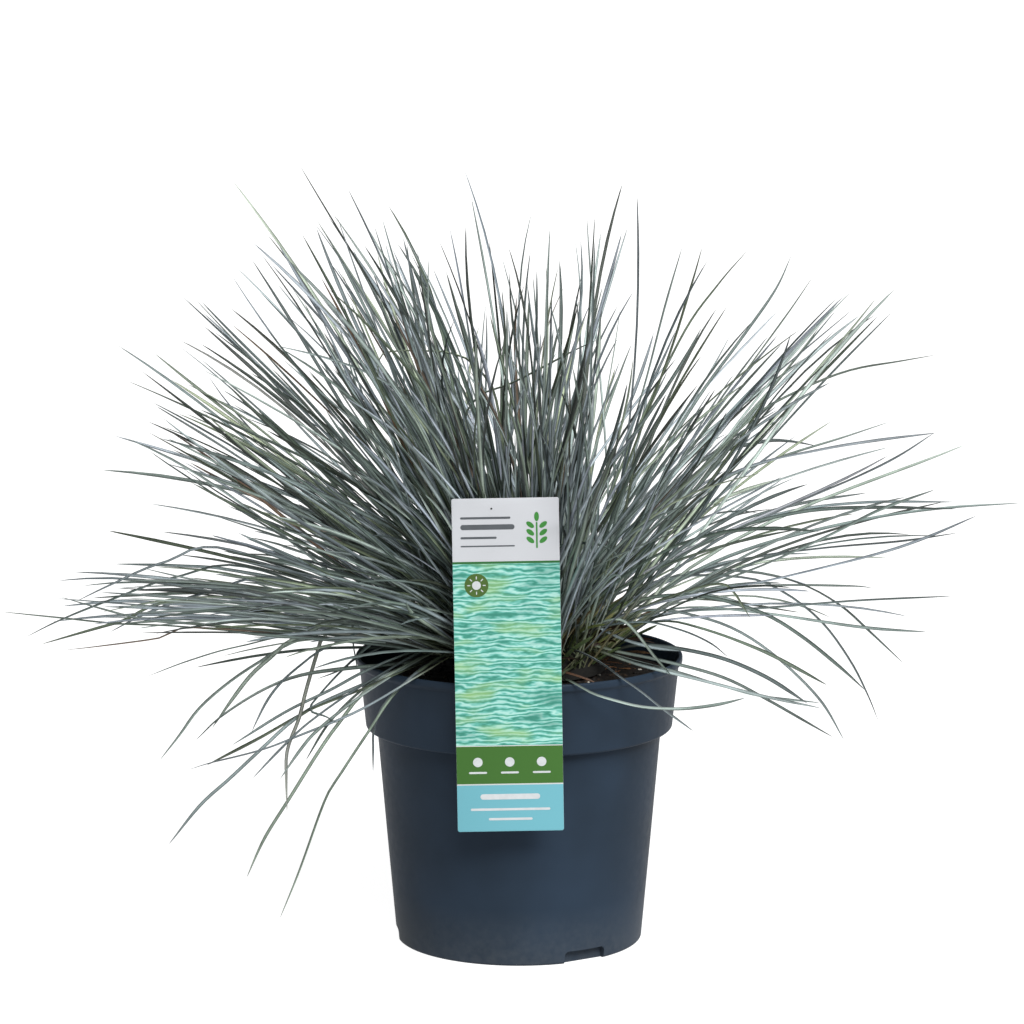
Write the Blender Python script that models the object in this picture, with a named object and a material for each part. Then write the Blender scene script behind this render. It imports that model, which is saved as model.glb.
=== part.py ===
"""Blue fescue clump in a nursery pot: pot, soil, crown, leaf tufts and a hook-on label.

Sizes are in millimetres and MM turns them to metres. The origin is the centre of the
pot's base, +Z is up, and the label hangs on the front of the pot, which faces -Y.
A bearing is an angle in degrees seen from above: 0 is the front, 90 the right (+X),
180 the back and 270 the left. A lean is an angle from straight up: 90 is level.
"""

import math
import random

import bmesh
import bpy
from mathutils import Matrix, Vector

MM = 0.001
SEED = 11
TOUCH_GAP = 0.3

# Pot: a thin-walled nursery pot with a wide collar, a rolled rim and a flat base
RIM_RADIUS = 85.0
POT_HEIGHT = 150.6
RIM_BEAD_HEIGHT = 5.4
RIM_BEAD_PROUD = 1.9
BEAD_UNDERSIDE = 1.6
BEAD_ROUND = 1.1
LIP_WIDTH = 1.7
COLLAR_BOTTOM = 112.6
COLLAR_BOTTOM_RADIUS = 79.9
BODY_TOP_RADIUS = 74.0
BASE_RADIUS = 64.2
WALL = 1.4
FLOOR_THICK = 2.2
EDGE_ROUND = 1.6
FOOT_RADIUS = 57.5
FOOT_HEIGHT = 9.0
FOOT_SLOPE = 2.0
POT_SEGMENTS = 32
NOTCH_BEARINGS = (32.0, 152.0, 272.0)
NOTCH_WIDTH = 24.0
NOTCH_HEIGHT = 6.6
NOTCH_DEPTH_RADIUS = 60.0
NOTCH_OVERRUN = 6.0
NOTCH_ROUND = 2.4
DRAIN_COUNT = 6
DRAIN_RADIUS = 4.0
DRAIN_CIRCLE = 42.0
DRAIN_PHASE = 11.0
DRAIN_SIDES = 8

# Soil: fills the pot to a little under the rim and rises to the crown
SOIL_WALL_HEIGHT = 139.0
SOIL_MIDDLE_HEIGHT = 142.5
SOIL_SEGMENTS = 24
SOIL_LUMP = 0.9
SOIL_FLAT_REACH = 50.0
SOIL_RINGS = (0.86, 0.66, 0.50)
SOIL_WALL_CLEARANCE = 0.8

# Crown: the packed bases of the shoots, a low dome that stands on the soil
CROWN_X = 7.0
CROWN_RADIUS = 38.0
CROWN_HEIGHT = 17.0
CROWN_SEGMENTS = 16
CROWN_RINGS = 5
DOME_REACH = 0.97

# Leaves: every tuft is a short stub that parts into five fine locks of leaves
TUFT_COUNT = 52
LOCKS_PER_TUFT = 5
STUB_RADIUS = 4.0
STUB_HEIGHT = 5.0
FIRST_BEARING = 50.0
GOLDEN_ANGLE = 137.508
UPRIGHT_LENGTH = 256.0
UPRIGHT_BEND = 12.0
LEAN_POWER = 0.85
DROOP_POWER = 1.6
LENGTH_SPREAD = 0.17
ROOT_TURN = 26.0
UPRIGHT_BEND_LATE = 1.3
PATH_STEP = 5.0
LOCK_LEAST_POINTS = 4
LOCK_POINT_TURN = 30.0
LOCK_WAIST = 0.66
LOCK_TIP = 0.16
BEARING_JITTER = 5.0
FIRST_SPREAD = 0.6
MOST_SPREAD = 1.06

# How the outermost leaves grow on each side: bearing, lean at the root, lean at the tip,
# length, and how late the bend comes. Behind the label they are pressed upright; at the
# front left and on the right they hang over the rim, and on the left they lie out level.
OUTER_LEAVES = (
    (8.0, 21.0, 42.0, 240.0, 1.3),
    (30.0, 62.0, 138.0, 165.0, 1.1),
    (60.0, 68.0, 152.0, 212.0, 1.2),
    (90.0, 70.0, 138.0, 232.0, 1.3),
    (120.0, 72.0, 112.0, 250.0, 1.3),
    (150.0, 70.0, 116.0, 250.0, 1.3),
    (180.0, 70.0, 122.0, 248.0, 1.3),
    (210.0, 72.0, 116.0, 252.0, 1.3),
    (240.0, 76.0, 106.0, 256.0, 1.3),
    (268.0, 80.0, 102.0, 258.0, 1.3),
    (286.0, 72.0, 132.0, 254.0, 1.1),
    (304.0, 58.0, 168.0, 242.0, 0.8),
    (322.0, 52.0, 170.0, 222.0, 0.7),
    (338.0, 20.0, 40.0, 240.0, 1.3),
)

# Label: a printed plastic card with a hook on its back that hangs over the rim
LABEL_WIDTH = 53.4
LABEL_HEIGHT = 169.7
LABEL_THICK = 0.8
LABEL_BACK_Y = -87.0
LABEL_MIDDLE_X = -5.7
LABEL_MIDDLE_Z = 161.6
LABEL_LEAN = 1.0
LABEL_CORNER = 2.0
HOOK_WIDTH = 18.0
HOOK_THICK = 0.8
HOOK_DROP = 8.0
HOOK_CLEARANCE = 2.2

COLOURS = {
    "pot": ((0.030, 0.042, 0.056), 0.42),
    "soil": ((0.018, 0.013, 0.010), 0.95),
    "crown": ((0.130, 0.115, 0.050), 0.80),
    "leaf": ((0.120, 0.160, 0.155), 0.55),
    "label": ((0.240, 0.480, 0.470), 0.35),
}


def clear_scene():
    for item in list(bpy.data.objects):
        bpy.data.objects.remove(item, do_unlink=True)


def make_material(name, finish):
    colour, roughness = COLOURS[finish]
    material = bpy.data.materials.new(name)
    material.use_nodes = True
    shader = material.node_tree.nodes["Principled BSDF"]
    shader.inputs["Base Color"].default_value = (*colour, 1.0)
    shader.inputs["Roughness"].default_value = roughness
    shader.inputs["Metallic"].default_value = 0.0
    return material


def make_object(name, shape, finish, smooth=True):
    """Turns a bmesh in millimetres into a named object in metres."""
    bmesh.ops.scale(shape, vec=(MM, MM, MM), verts=shape.verts)
    mesh = bpy.data.meshes.new(name)
    shape.to_mesh(mesh)
    shape.free()
    if smooth:
        mesh.shade_smooth()
        mesh.set_sharp_from_angle(angle=math.radians(40.0))
    made = bpy.data.objects.new(name, mesh)
    made.data.materials.append(make_material(name, finish))
    bpy.context.scene.collection.objects.link(made)
    return made


def make_cutter(name, shape):
    """Turns a bmesh into a shape that only cuts, which is hidden in renders."""
    cutter = make_object(name, shape, "pot", smooth=False)
    cutter.hide_render = True
    cutter.display_type = "WIRE"
    return cutter


def add_boolean(target, tool, operation):
    modifier = target.modifiers.new(f"{operation.lower()}_{tool.name}", "BOOLEAN")
    modifier.operation = operation
    modifier.object = tool
    modifier.solver = "EXACT"


def turn_profile(profile, segments):
    """Spins (radius, height) points about Z into a closed shape."""
    shape = bmesh.new()
    corners = [shape.verts.new((radius, 0.0, height)) for radius, height in profile]
    edges = [shape.edges.new(pair) for pair in zip(corners, corners[1:])]
    bmesh.ops.spin(
        shape,
        geom=corners + edges,
        cent=(0.0, 0.0, 0.0),
        axis=(0.0, 0.0, 1.0),
        angle=math.tau,
        steps=segments,
        use_merge=True,
    )
    bmesh.ops.remove_doubles(shape, verts=shape.verts, dist=0.001)
    bmesh.ops.recalc_face_normals(shape, faces=shape.faces)
    return shape


def direction(bearing):
    """Unit vector that points outwards at a bearing."""
    angle = math.radians(bearing)
    return Vector((math.sin(angle), -math.cos(angle), 0.0))


def body_radius(height):
    """Outer radius of the pot's tapered body at a height."""
    return BASE_RADIUS + (BODY_TOP_RADIUS - BASE_RADIUS) * height / COLLAR_BOTTOM


def pot_profile():
    bead_bottom = POT_HEIGHT - RIM_BEAD_HEIGHT
    collar_top_radius = RIM_RADIUS - RIM_BEAD_PROUD
    outside = [
        (0.0, 0.0),
        (BASE_RADIUS - EDGE_ROUND, 0.0),
        (body_radius(EDGE_ROUND), EDGE_ROUND),
        (BODY_TOP_RADIUS, COLLAR_BOTTOM),
        (COLLAR_BOTTOM_RADIUS - EDGE_ROUND, COLLAR_BOTTOM),
        (COLLAR_BOTTOM_RADIUS, COLLAR_BOTTOM + EDGE_ROUND),
        (collar_top_radius, bead_bottom),
        (RIM_RADIUS, bead_bottom + BEAD_UNDERSIDE),
        (RIM_RADIUS, POT_HEIGHT - BEAD_ROUND),
        (RIM_RADIUS - BEAD_ROUND, POT_HEIGHT),
    ]
    inside = [
        (RIM_RADIUS - LIP_WIDTH, POT_HEIGHT),
        (collar_top_radius - WALL, bead_bottom),
        (COLLAR_BOTTOM_RADIUS - WALL, COLLAR_BOTTOM + WALL),
        (BODY_TOP_RADIUS - WALL, COLLAR_BOTTOM - WALL),
        (body_radius(FOOT_HEIGHT) - WALL, FOOT_HEIGHT + FOOT_SLOPE),
        (FOOT_RADIUS, FOOT_HEIGHT),
        (FOOT_RADIUS, FLOOR_THICK),
        (0.0, FLOOR_THICK),
    ]
    return outside + inside


def place_at_bearing(shape, bearing, radius, height):
    """Turns a shape made at the front towards a bearing and moves it out to a radius."""
    turn = Matrix.Rotation(math.radians(bearing), 4, "Z")
    out = Matrix.Translation(direction(bearing) * radius + Vector((0.0, 0.0, height)))
    bmesh.ops.transform(shape, matrix=out @ turn, verts=shape.verts)


def notch_cutter(number, bearing):
    """A block with rounded upper edges that cuts one notch into the foot of the wall."""
    depth = BASE_RADIUS - NOTCH_DEPTH_RADIUS + NOTCH_OVERRUN
    shape = bmesh.new()
    bmesh.ops.create_cube(shape, size=1.0)
    bmesh.ops.scale(shape, vec=(NOTCH_WIDTH, depth, 2.0 * NOTCH_HEIGHT), verts=shape.verts)
    upper = [
        edge
        for edge in shape.edges
        if all(vert.co.z > 0.0 for vert in edge.verts)
        and abs(edge.verts[0].co.x - edge.verts[1].co.x) < 1e-4
    ]
    bmesh.ops.bevel(
        shape,
        geom=upper,
        affect="EDGES",
        offset=NOTCH_ROUND,
        segments=3,
        profile=0.5,
        material=-1,
    )
    place_at_bearing(shape, bearing, NOTCH_DEPTH_RADIUS + 0.5 * depth, 0.0)
    return make_cutter(f"notch_cutter_{number}", shape)


def drain_cutter(number, bearing):
    shape = bmesh.new()
    bmesh.ops.create_cone(
        shape,
        cap_ends=True,
        segments=DRAIN_SIDES,
        radius1=DRAIN_RADIUS,
        radius2=DRAIN_RADIUS,
        depth=4.0 * FLOOR_THICK,
    )
    place_at_bearing(shape, bearing, DRAIN_CIRCLE, 0.5 * FLOOR_THICK)
    return make_cutter(f"drain_cutter_{number}", shape)


def make_pot():
    pot = make_object("pot", turn_profile(pot_profile(), POT_SEGMENTS), "pot")
    for number, bearing in enumerate(NOTCH_BEARINGS, start=1):
        add_boolean(pot, notch_cutter(number, bearing), "DIFFERENCE")
    for number in range(DRAIN_COUNT):
        bearing = DRAIN_PHASE + number * 360.0 / DRAIN_COUNT
        add_boolean(pot, drain_cutter(number + 1, bearing), "DIFFERENCE")


def soil_profile():
    """The inside of the pot, drawn in by a small gap, with a mound on top."""
    gap = SOIL_WALL_CLEARANCE
    below = [
        (0.0, FLOOR_THICK + TOUCH_GAP),
        (FOOT_RADIUS - gap, FLOOR_THICK + TOUCH_GAP),
        (FOOT_RADIUS - gap, FOOT_HEIGHT + TOUCH_GAP),
        (body_radius(FOOT_HEIGHT) - WALL - gap, FOOT_HEIGHT + FOOT_SLOPE + TOUCH_GAP),
        (BODY_TOP_RADIUS - WALL - gap, COLLAR_BOTTOM - WALL + TOUCH_GAP),
        (COLLAR_BOTTOM_RADIUS - WALL - gap, COLLAR_BOTTOM + WALL + TOUCH_GAP),
    ]
    bead_bottom = POT_HEIGHT - RIM_BEAD_HEIGHT
    rise = (SOIL_WALL_HEIGHT - COLLAR_BOTTOM) / (bead_bottom - COLLAR_BOTTOM)
    collar_top_radius = RIM_RADIUS - RIM_BEAD_PROUD
    wall_radius = COLLAR_BOTTOM_RADIUS + rise * (collar_top_radius - COLLAR_BOTTOM_RADIUS)
    wall_radius -= WALL + gap
    step = (SOIL_MIDDLE_HEIGHT - SOIL_WALL_HEIGHT) / (len(SOIL_RINGS) - 1)
    mound = [(wall_radius, SOIL_WALL_HEIGHT)]
    for number, share in enumerate(SOIL_RINGS):
        mound.append((share * wall_radius, SOIL_WALL_HEIGHT + number * step))
    mound.append((0.0, SOIL_MIDDLE_HEIGHT))
    return below + mound


def make_soil(chance):
    shape = turn_profile(soil_profile(), SOIL_SEGMENTS)
    for vert in sorted(shape.verts, key=lambda corner: tuple(corner.co)):
        reach = Vector((vert.co.x - CROWN_X, vert.co.y)).length
        free = vert.co.z > SOIL_WALL_HEIGHT - 0.5 and reach > SOIL_FLAT_REACH
        if free:
            vert.co.z += chance.uniform(-SOIL_LUMP, SOIL_LUMP)
    make_object("soil", shape, "soil", smooth=False)


def crown_foot_height():
    return SOIL_MIDDLE_HEIGHT + TOUCH_GAP


def crown_place(spread, bearing):
    """Point and outward normal on the crown's dome; spread runs from 0, the middle, to 1."""
    turn = math.asin(DOME_REACH * spread)
    out = direction(bearing)
    point = out * CROWN_RADIUS * math.sin(turn)
    point += Vector((CROWN_X, 0.0, crown_foot_height() + CROWN_HEIGHT * math.cos(turn)))
    normal = out * math.sin(turn) / CROWN_RADIUS
    normal += Vector((0.0, 0.0, math.cos(turn) / CROWN_HEIGHT))
    return point, normal.normalized()


def make_crown():
    profile = [(0.0, 0.0), (CROWN_RADIUS, 0.0)]
    for ring in range(1, CROWN_RINGS + 1):
        turn = math.radians(90.0 * ring / CROWN_RINGS)
        profile.append((CROWN_RADIUS * math.cos(turn), CROWN_HEIGHT * math.sin(turn)))
    profile[-1] = (0.0, CROWN_HEIGHT)
    shape = turn_profile(profile, CROWN_SEGMENTS)
    bmesh.ops.translate(shape, vec=(CROWN_X, 0.0, crown_foot_height()), verts=shape.verts)
    make_object("crown", shape, "crown")


def outer_leaf(bearing):
    """Root lean, tip lean, length and bend of the outermost leaves at a bearing."""
    rows = OUTER_LEAVES
    before = [(row[0] - 360.0, *row[1:]) for row in rows[-1:]]
    after = [(row[0] + 360.0, *row[1:]) for row in rows[:1]]
    ring = before + list(rows) + after
    angle = bearing % 360.0
    for low, high in zip(ring, ring[1:]):
        if low[0] <= angle <= high[0]:
            share = (angle - low[0]) / (high[0] - low[0])
            share = share * share * (3.0 - 2.0 * share)
            return [first + (last - first) * share for first, last in zip(low[1:], high[1:])]
    raise ValueError(f"no leaf at bearing {bearing}")


def leaf_habit(spread, bearing):
    """Root lean, tip lean, length and bend of the leaves at a place on the crown."""
    root_lean, tip_lean, length, bend = outer_leaf(bearing)
    root = root_lean * spread**LEAN_POWER
    tip = UPRIGHT_BEND * spread + (tip_lean - UPRIGHT_BEND) * spread**DROOP_POWER
    full_length = UPRIGHT_LENGTH + (length - UPRIGHT_LENGTH) * spread
    return root, max(tip, root), full_length, UPRIGHT_BEND_LATE + (bend - UPRIGHT_BEND_LATE) * spread


def leaf_path(start, start_lean, spread, bearing, length, points):
    """Points along one leaf, which turns from its root's lean to its tip's lean."""
    root_lean, tip_lean, full_length, bend = leaf_habit(spread, bearing)
    out = direction(bearing)
    steps = max(8, round(length / PATH_STEP))
    stride = length / steps
    place = Vector(start)
    path = [place.copy()]
    for step in range(steps):
        along = (step + 0.5) * stride
        settle = min(1.0, along / ROOT_TURN)
        lean = start_lean + (root_lean - start_lean) * settle
        lean += (tip_lean - root_lean) * (along / full_length) ** bend
        angle = math.radians(lean)
        place += stride * (out * math.sin(angle) + Vector((0.0, 0.0, math.cos(angle))))
        path.append(place.copy())
    picked = [round(number * steps / points) for number in range(points + 1)]
    return [path[number] for number in picked]


def lock_scale(share):
    """Width of a lock along its length, as a share of its width on the stub."""
    if share < 0.5:
        return 1.0 + (LOCK_WAIST - 1.0) * share / 0.5
    return LOCK_WAIST + (LOCK_TIP - LOCK_WAIST) * (share - 0.5) / 0.5


def grow_lock(shape, face, spread, bearing, start_lean, length):
    """Draws one face of the stub out into a tapered lock that ends in a point."""
    root_lean, tip_lean, _, _ = leaf_habit(spread, bearing)
    points = LOCK_LEAST_POINTS + round((tip_lean - root_lean) / LOCK_POINT_TURN)
    path = leaf_path(face.calc_center_median(), start_lean, spread, bearing, length, points)
    heading = face.normal.copy()
    scale = 1.0
    for number in range(1, points + 1):
        grown = bmesh.ops.extrude_discrete_faces(shape, faces=[face])
        face = grown["faces"][0]
        before, after = path[number - 1], path[number]
        ahead = path[min(number + 1, points)]
        new_heading = ((after - before).normalized() + (ahead - before).normalized()).normalized()
        new_scale = lock_scale(number / points)
        swing = heading.rotation_difference(new_heading).to_matrix().to_4x4()
        resize = Matrix.Scale(new_scale / scale, 4)
        centre = Matrix.Translation(-face.calc_center_median())
        move = Matrix.Translation(after) @ swing @ resize @ centre
        bmesh.ops.transform(shape, matrix=move, verts=face.verts)
        heading, scale = new_heading, new_scale
    bmesh.ops.pointmerge(shape, verts=face.verts, merge_co=path[-1])


def lock_places(stub_top, stub_middle, spread, bearing):
    """Spread and bearing on the crown that each face of the stub's top stands for."""
    home = direction(bearing) * spread
    places = []
    for face in stub_top:
        offset = (face.calc_center_median() - stub_middle) / CROWN_RADIUS
        spot = home + Vector((offset.x, offset.y, 0.0))
        angle = math.degrees(math.atan2(spot.x, -spot.y)) % 360.0
        places.append((face, min(spot.length, MOST_SPREAD), angle))
    return places


def make_tuft(number, chance):
    """One tuft: a stub on the crown, whose top parts into five leaf locks."""
    spread = math.sqrt((number + FIRST_SPREAD) / TUFT_COUNT)
    bearing = FIRST_BEARING + number * GOLDEN_ANGLE + chance.uniform(-BEARING_JITTER, BEARING_JITTER)
    bearing %= 360.0
    foot, normal = crown_place(spread, bearing)
    turn = Matrix.Rotation(math.radians(chance.uniform(0.0, 90.0)), 4, "Z")
    upright = Vector((0.0, 0.0, 1.0)).rotation_difference(normal).to_matrix().to_4x4()
    lift = Matrix.Translation(foot + normal * (0.5 * STUB_HEIGHT + 2.0 * TOUCH_GAP))
    shape = bmesh.new()
    bmesh.ops.create_cone(
        shape,
        cap_ends=True,
        segments=LOCKS_PER_TUFT,
        radius1=STUB_RADIUS,
        radius2=STUB_RADIUS,
        depth=STUB_HEIGHT,
        matrix=lift @ upright @ turn,
    )
    shape.normal_update()
    top = max(shape.faces, key=lambda face: face.normal.dot(normal))
    middle = top.calc_center_median()
    fan = bmesh.ops.poke(shape, faces=[top])["faces"]
    start_lean = math.degrees(normal.angle(Vector((0.0, 0.0, 1.0))))
    for face, lock_spread, lock_bearing in lock_places(fan, middle, spread, bearing):
        full_length = leaf_habit(lock_spread, lock_bearing)[2]
        length = full_length * (1.0 - chance.uniform(0.0, LENGTH_SPREAD))
        grow_lock(shape, face, lock_spread, lock_bearing, start_lean, length)
    bmesh.ops.recalc_face_normals(shape, faces=shape.faces)
    make_object(f"tuft_{number + 1:02d}", shape, "leaf", smooth=False)


def card_shape():
    """The flat card, with rounded corners, standing with its back on the plane y = 0."""
    shape = bmesh.new()
    bmesh.ops.create_cube(shape, size=1.0)
    bmesh.ops.scale(shape, vec=(LABEL_WIDTH, LABEL_THICK, LABEL_HEIGHT), verts=shape.verts)
    corners = [
        edge
        for edge in shape.edges
        if abs(edge.verts[0].co.y - edge.verts[1].co.y) > 0.5 * LABEL_THICK
    ]
    bmesh.ops.bevel(
        shape,
        geom=corners,
        affect="EDGES",
        offset=LABEL_CORNER,
        segments=3,
        profile=0.5,
        material=-1,
    )
    bmesh.ops.translate(shape, vec=(0.0, -0.5 * LABEL_THICK, 0.0), verts=shape.verts)
    lean = Matrix.Rotation(math.radians(-LABEL_LEAN), 4, "Y")
    place = Matrix.Translation((LABEL_MIDDLE_X, LABEL_BACK_Y, LABEL_MIDDLE_Z))
    bmesh.ops.transform(shape, matrix=place @ lean, verts=shape.verts)
    return shape


def hook_shape():
    """The hook: out of the card's back, over the rim and down inside the pot."""
    under = POT_HEIGHT + TOUCH_GAP
    over = under + HOOK_THICK
    root = LABEL_BACK_Y - 0.5 * LABEL_THICK
    inner = -(RIM_RADIUS - RIM_BEAD_PROUD - WALL - HOOK_CLEARANCE)
    end = inner + HOOK_THICK
    bottom = under - HOOK_DROP
    side = [(root, under), (inner, under), (inner, bottom), (end, bottom), (end, over), (root, over)]
    left = LABEL_MIDDLE_X - 0.5 * HOOK_WIDTH
    shape = bmesh.new()
    face = shape.faces.new([shape.verts.new((left, y, z)) for y, z in side])
    grown = bmesh.ops.extrude_face_region(shape, geom=[face])
    moved = [item for item in grown["geom"] if isinstance(item, bmesh.types.BMVert)]
    bmesh.ops.translate(shape, vec=(HOOK_WIDTH, 0.0, 0.0), verts=moved)
    bmesh.ops.recalc_face_normals(shape, faces=shape.faces)
    return shape


def make_label():
    label = make_object("label", card_shape(), "label", smooth=False)
    hook = make_cutter("hook_joiner", hook_shape())
    add_boolean(label, hook, "UNION")


def main():
    clear_scene()
    chance = random.Random(SEED)
    make_pot()
    make_soil(chance)
    make_crown()
    for number in range(TUFT_COUNT):
        make_tuft(number, chance)
    make_label()


main()
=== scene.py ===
"""Looks of the potted blue fescue clump: leaves, crown, soil, pot and label in a pale studio.

Distances are in metres, and MM turns millimetres to metres. The pot stands on z = 0 with
its axis on Z, and the label faces the camera, which looks along +Y. A bearing is an angle
in degrees seen from above: 0 is the front (-Y), 90 the right (+X). A lean is an angle from
straight up. A spread is a place on the crown: 0 is its middle and 1 its edge.
"""

import math
import random

import bmesh
import bpy
import numpy as np
from mathutils import Matrix, Vector, noise


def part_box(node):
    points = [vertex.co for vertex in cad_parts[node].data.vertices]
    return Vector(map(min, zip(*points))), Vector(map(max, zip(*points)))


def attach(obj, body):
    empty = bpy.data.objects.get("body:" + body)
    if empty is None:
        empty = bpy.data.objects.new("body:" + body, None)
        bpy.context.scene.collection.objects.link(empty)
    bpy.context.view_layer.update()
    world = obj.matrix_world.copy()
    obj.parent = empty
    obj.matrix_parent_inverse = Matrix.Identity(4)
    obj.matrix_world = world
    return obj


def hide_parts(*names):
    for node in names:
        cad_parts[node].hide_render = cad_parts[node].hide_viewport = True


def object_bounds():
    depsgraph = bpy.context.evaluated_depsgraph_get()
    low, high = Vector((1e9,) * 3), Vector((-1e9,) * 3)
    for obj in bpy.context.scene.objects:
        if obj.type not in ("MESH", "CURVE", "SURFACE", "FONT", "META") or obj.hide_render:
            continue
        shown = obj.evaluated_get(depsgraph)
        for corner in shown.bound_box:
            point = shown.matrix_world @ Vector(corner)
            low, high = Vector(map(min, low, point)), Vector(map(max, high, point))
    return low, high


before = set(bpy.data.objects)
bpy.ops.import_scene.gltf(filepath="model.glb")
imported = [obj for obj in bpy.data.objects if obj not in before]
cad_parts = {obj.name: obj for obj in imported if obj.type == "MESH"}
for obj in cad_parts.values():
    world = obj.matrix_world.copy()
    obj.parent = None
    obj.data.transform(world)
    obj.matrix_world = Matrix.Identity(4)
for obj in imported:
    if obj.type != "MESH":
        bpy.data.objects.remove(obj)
CAD_LOW, CAD_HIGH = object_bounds()

MM = 0.001
SEED = 23

# Camera: the place, pitch and lens that match the photograph's pot and label
PHOTO_SIZE = 1024
CAMERA_PLACE = Vector((-3.7 * MM, -2200.0 * MM, 588.0 * MM))
CAMERA_PITCH = math.radians(9.37)
CAMERA_LENS_PX = 4309.0
SENSOR_MM = 36.0

# Pot, as in the frame: the base and rim come from the pot's box
POT_LOW, POT_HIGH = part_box("pot")
RIM_RADIUS = POT_HIGH.x
POT_HEIGHT = POT_HIGH.z
BASE_RADIUS = 64.2 * MM
BODY_TOP_RADIUS = 74.0 * MM
COLLAR_BOTTOM = 112.6 * MM
COLLAR_BOTTOM_RADIUS = 79.9 * MM
BEAD_HEIGHT = 5.4 * MM
BEAD_PROUD = 1.9 * MM
WALL = 1.4 * MM
FLOOR_THICK = 2.2 * MM
FOOT_RADIUS = 57.5 * MM
FOOT_HEIGHT = 9.0 * MM
FOOT_SLOPE = 2.0 * MM
POT_STEPS = 160
EDGE_ROUND = 1.6 * MM
LIP_ROUND = 1.0 * MM
NOTCH_BEARINGS = (32.0, 152.0, 272.0)
NOTCH_WIDTH = 24.0 * MM
NOTCH_HEIGHT = 6.6 * MM
NOTCH_DEPTH_RADIUS = 60.0 * MM
NOTCH_ROUND = 2.4 * MM
DRAIN_COUNT = 6
DRAIN_RADIUS = 4.0 * MM
DRAIN_CIRCLE = 42.0 * MM
DRAIN_PHASE = 11.0

# Crown: a low dome of leaf bases a little right of the pot's middle
CROWN_LOW, CROWN_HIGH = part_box("crown")
CROWN_X = 0.5 * (CROWN_LOW.x + CROWN_HIGH.x)
CROWN_RADIUS = 0.5 * (CROWN_HIGH.x - CROWN_LOW.x)
CROWN_HEIGHT = CROWN_HIGH.z - CROWN_LOW.z
CROWN_FOOT = CROWN_LOW.z
DOME_REACH = 0.97
SHEATH_RINGS = 8
SHEATH_COUNT = 230
STRAND_COUNT = 46
SPROUTS = ((574, 655), (577, 660), (580, 664), (584, 661), (588, 665), (592, 658), (570, 662), (597, 655))
STRAWS = ((601, 666), (605, 671), (609, 668), (613, 674), (618, 670), (623, 669), (597, 662), (629, 664))

# Soil: its surface lies a little under the rim
SOIL_LOW, SOIL_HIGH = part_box("soil")
SOIL_WALL_HEIGHT = 139.0 * MM
SOIL_MIDDLE_HEIGHT = 142.5 * MM
SOIL_CLEARANCE = 0.8 * MM
SOIL_STEPS = 120
SOIL_RINGS = 26
SOIL_CLOD = 9.0 * MM
SOIL_RELIEF = 0.9 * MM
CRUMB_COUNT = 900
PERLITE_PLACES = ((577, 664), (581, 666), (573, 667), (599, 676), (640, 668), (378, 655), (392, 661))
PERLITE_LOOSE = 16

# Leaves: how the outermost ones grow on each side, as in the frame. Bearing, lean at the
# root, lean at the tip, length in millimetres, and how late the bend comes
TUFT_COUNT = sum(name.startswith("tuft_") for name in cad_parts)
FIRST_BEARING = 50.0
GOLDEN_ANGLE = 137.508
FIRST_SPREAD = 0.6
UPRIGHT_LENGTH = 256.0
UPRIGHT_BEND = 12.0
UPRIGHT_BEND_LATE = 1.3
LEAN_POWER = 0.85
DROOP_POWER = 1.6
ROOT_TURN = 26.0
OUTER_LEAVES = (
    (8.0, 21.0, 42.0, 240.0, 1.3),
    (30.0, 62.0, 138.0, 165.0, 1.1),
    (60.0, 68.0, 152.0, 212.0, 1.2),
    (90.0, 70.0, 138.0, 232.0, 1.3),
    (120.0, 72.0, 112.0, 250.0, 1.3),
    (150.0, 70.0, 116.0, 250.0, 1.3),
    (180.0, 70.0, 122.0, 248.0, 1.3),
    (210.0, 72.0, 116.0, 252.0, 1.3),
    (240.0, 76.0, 106.0, 256.0, 1.3),
    (268.0, 80.0, 102.0, 258.0, 1.3),
    (286.0, 72.0, 132.0, 254.0, 1.1),
    (304.0, 58.0, 168.0, 242.0, 0.8),
    (322.0, 52.0, 170.0, 222.0, 0.7),
    (338.0, 20.0, 40.0, 240.0, 1.3),
)
LEAVES_PER_TUFT = 21
LEAF_RINGS = 12
STRAY_RINGS = 36
STRAY_TONES = (0.2, 0.62)
LEAF_STEPS = 48
LEAF_WIDTH = 1.8
LEAF_FOLD = ((-0.5, 0.16), (0.0, -0.34), (0.5, 0.16), (0.0, 0.0))
LEAF_TAPER = 0.13
LEAF_FOOT = 0.24
LEAF_MAP = "leaf_map"
LEAF_TONES = "leaf_tones"
LEAF_MOTTLE = 14.0 * MM
LEAF_RIBS = 9.0
TUFT_REACH = 7.5
SHORTEST_SHARE = 0.45
LONGEST_SHARE = 1.0
LEAN_ERROR = 9.0
SWING_ERROR = 13.0
DRIFT_ERROR = 14.0
DROOP_RANGE = (0.5, 1.2)
DRY_SHARE = 0.02
TRIES = 14
LEAF_ROOM = 1.5 * MM
RIM_ROOM = 2.6 * MM
FLOOR_ROOM = 3.0 * MM
WALL_CHECK_RADIUS = 70.0 * MM

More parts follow.
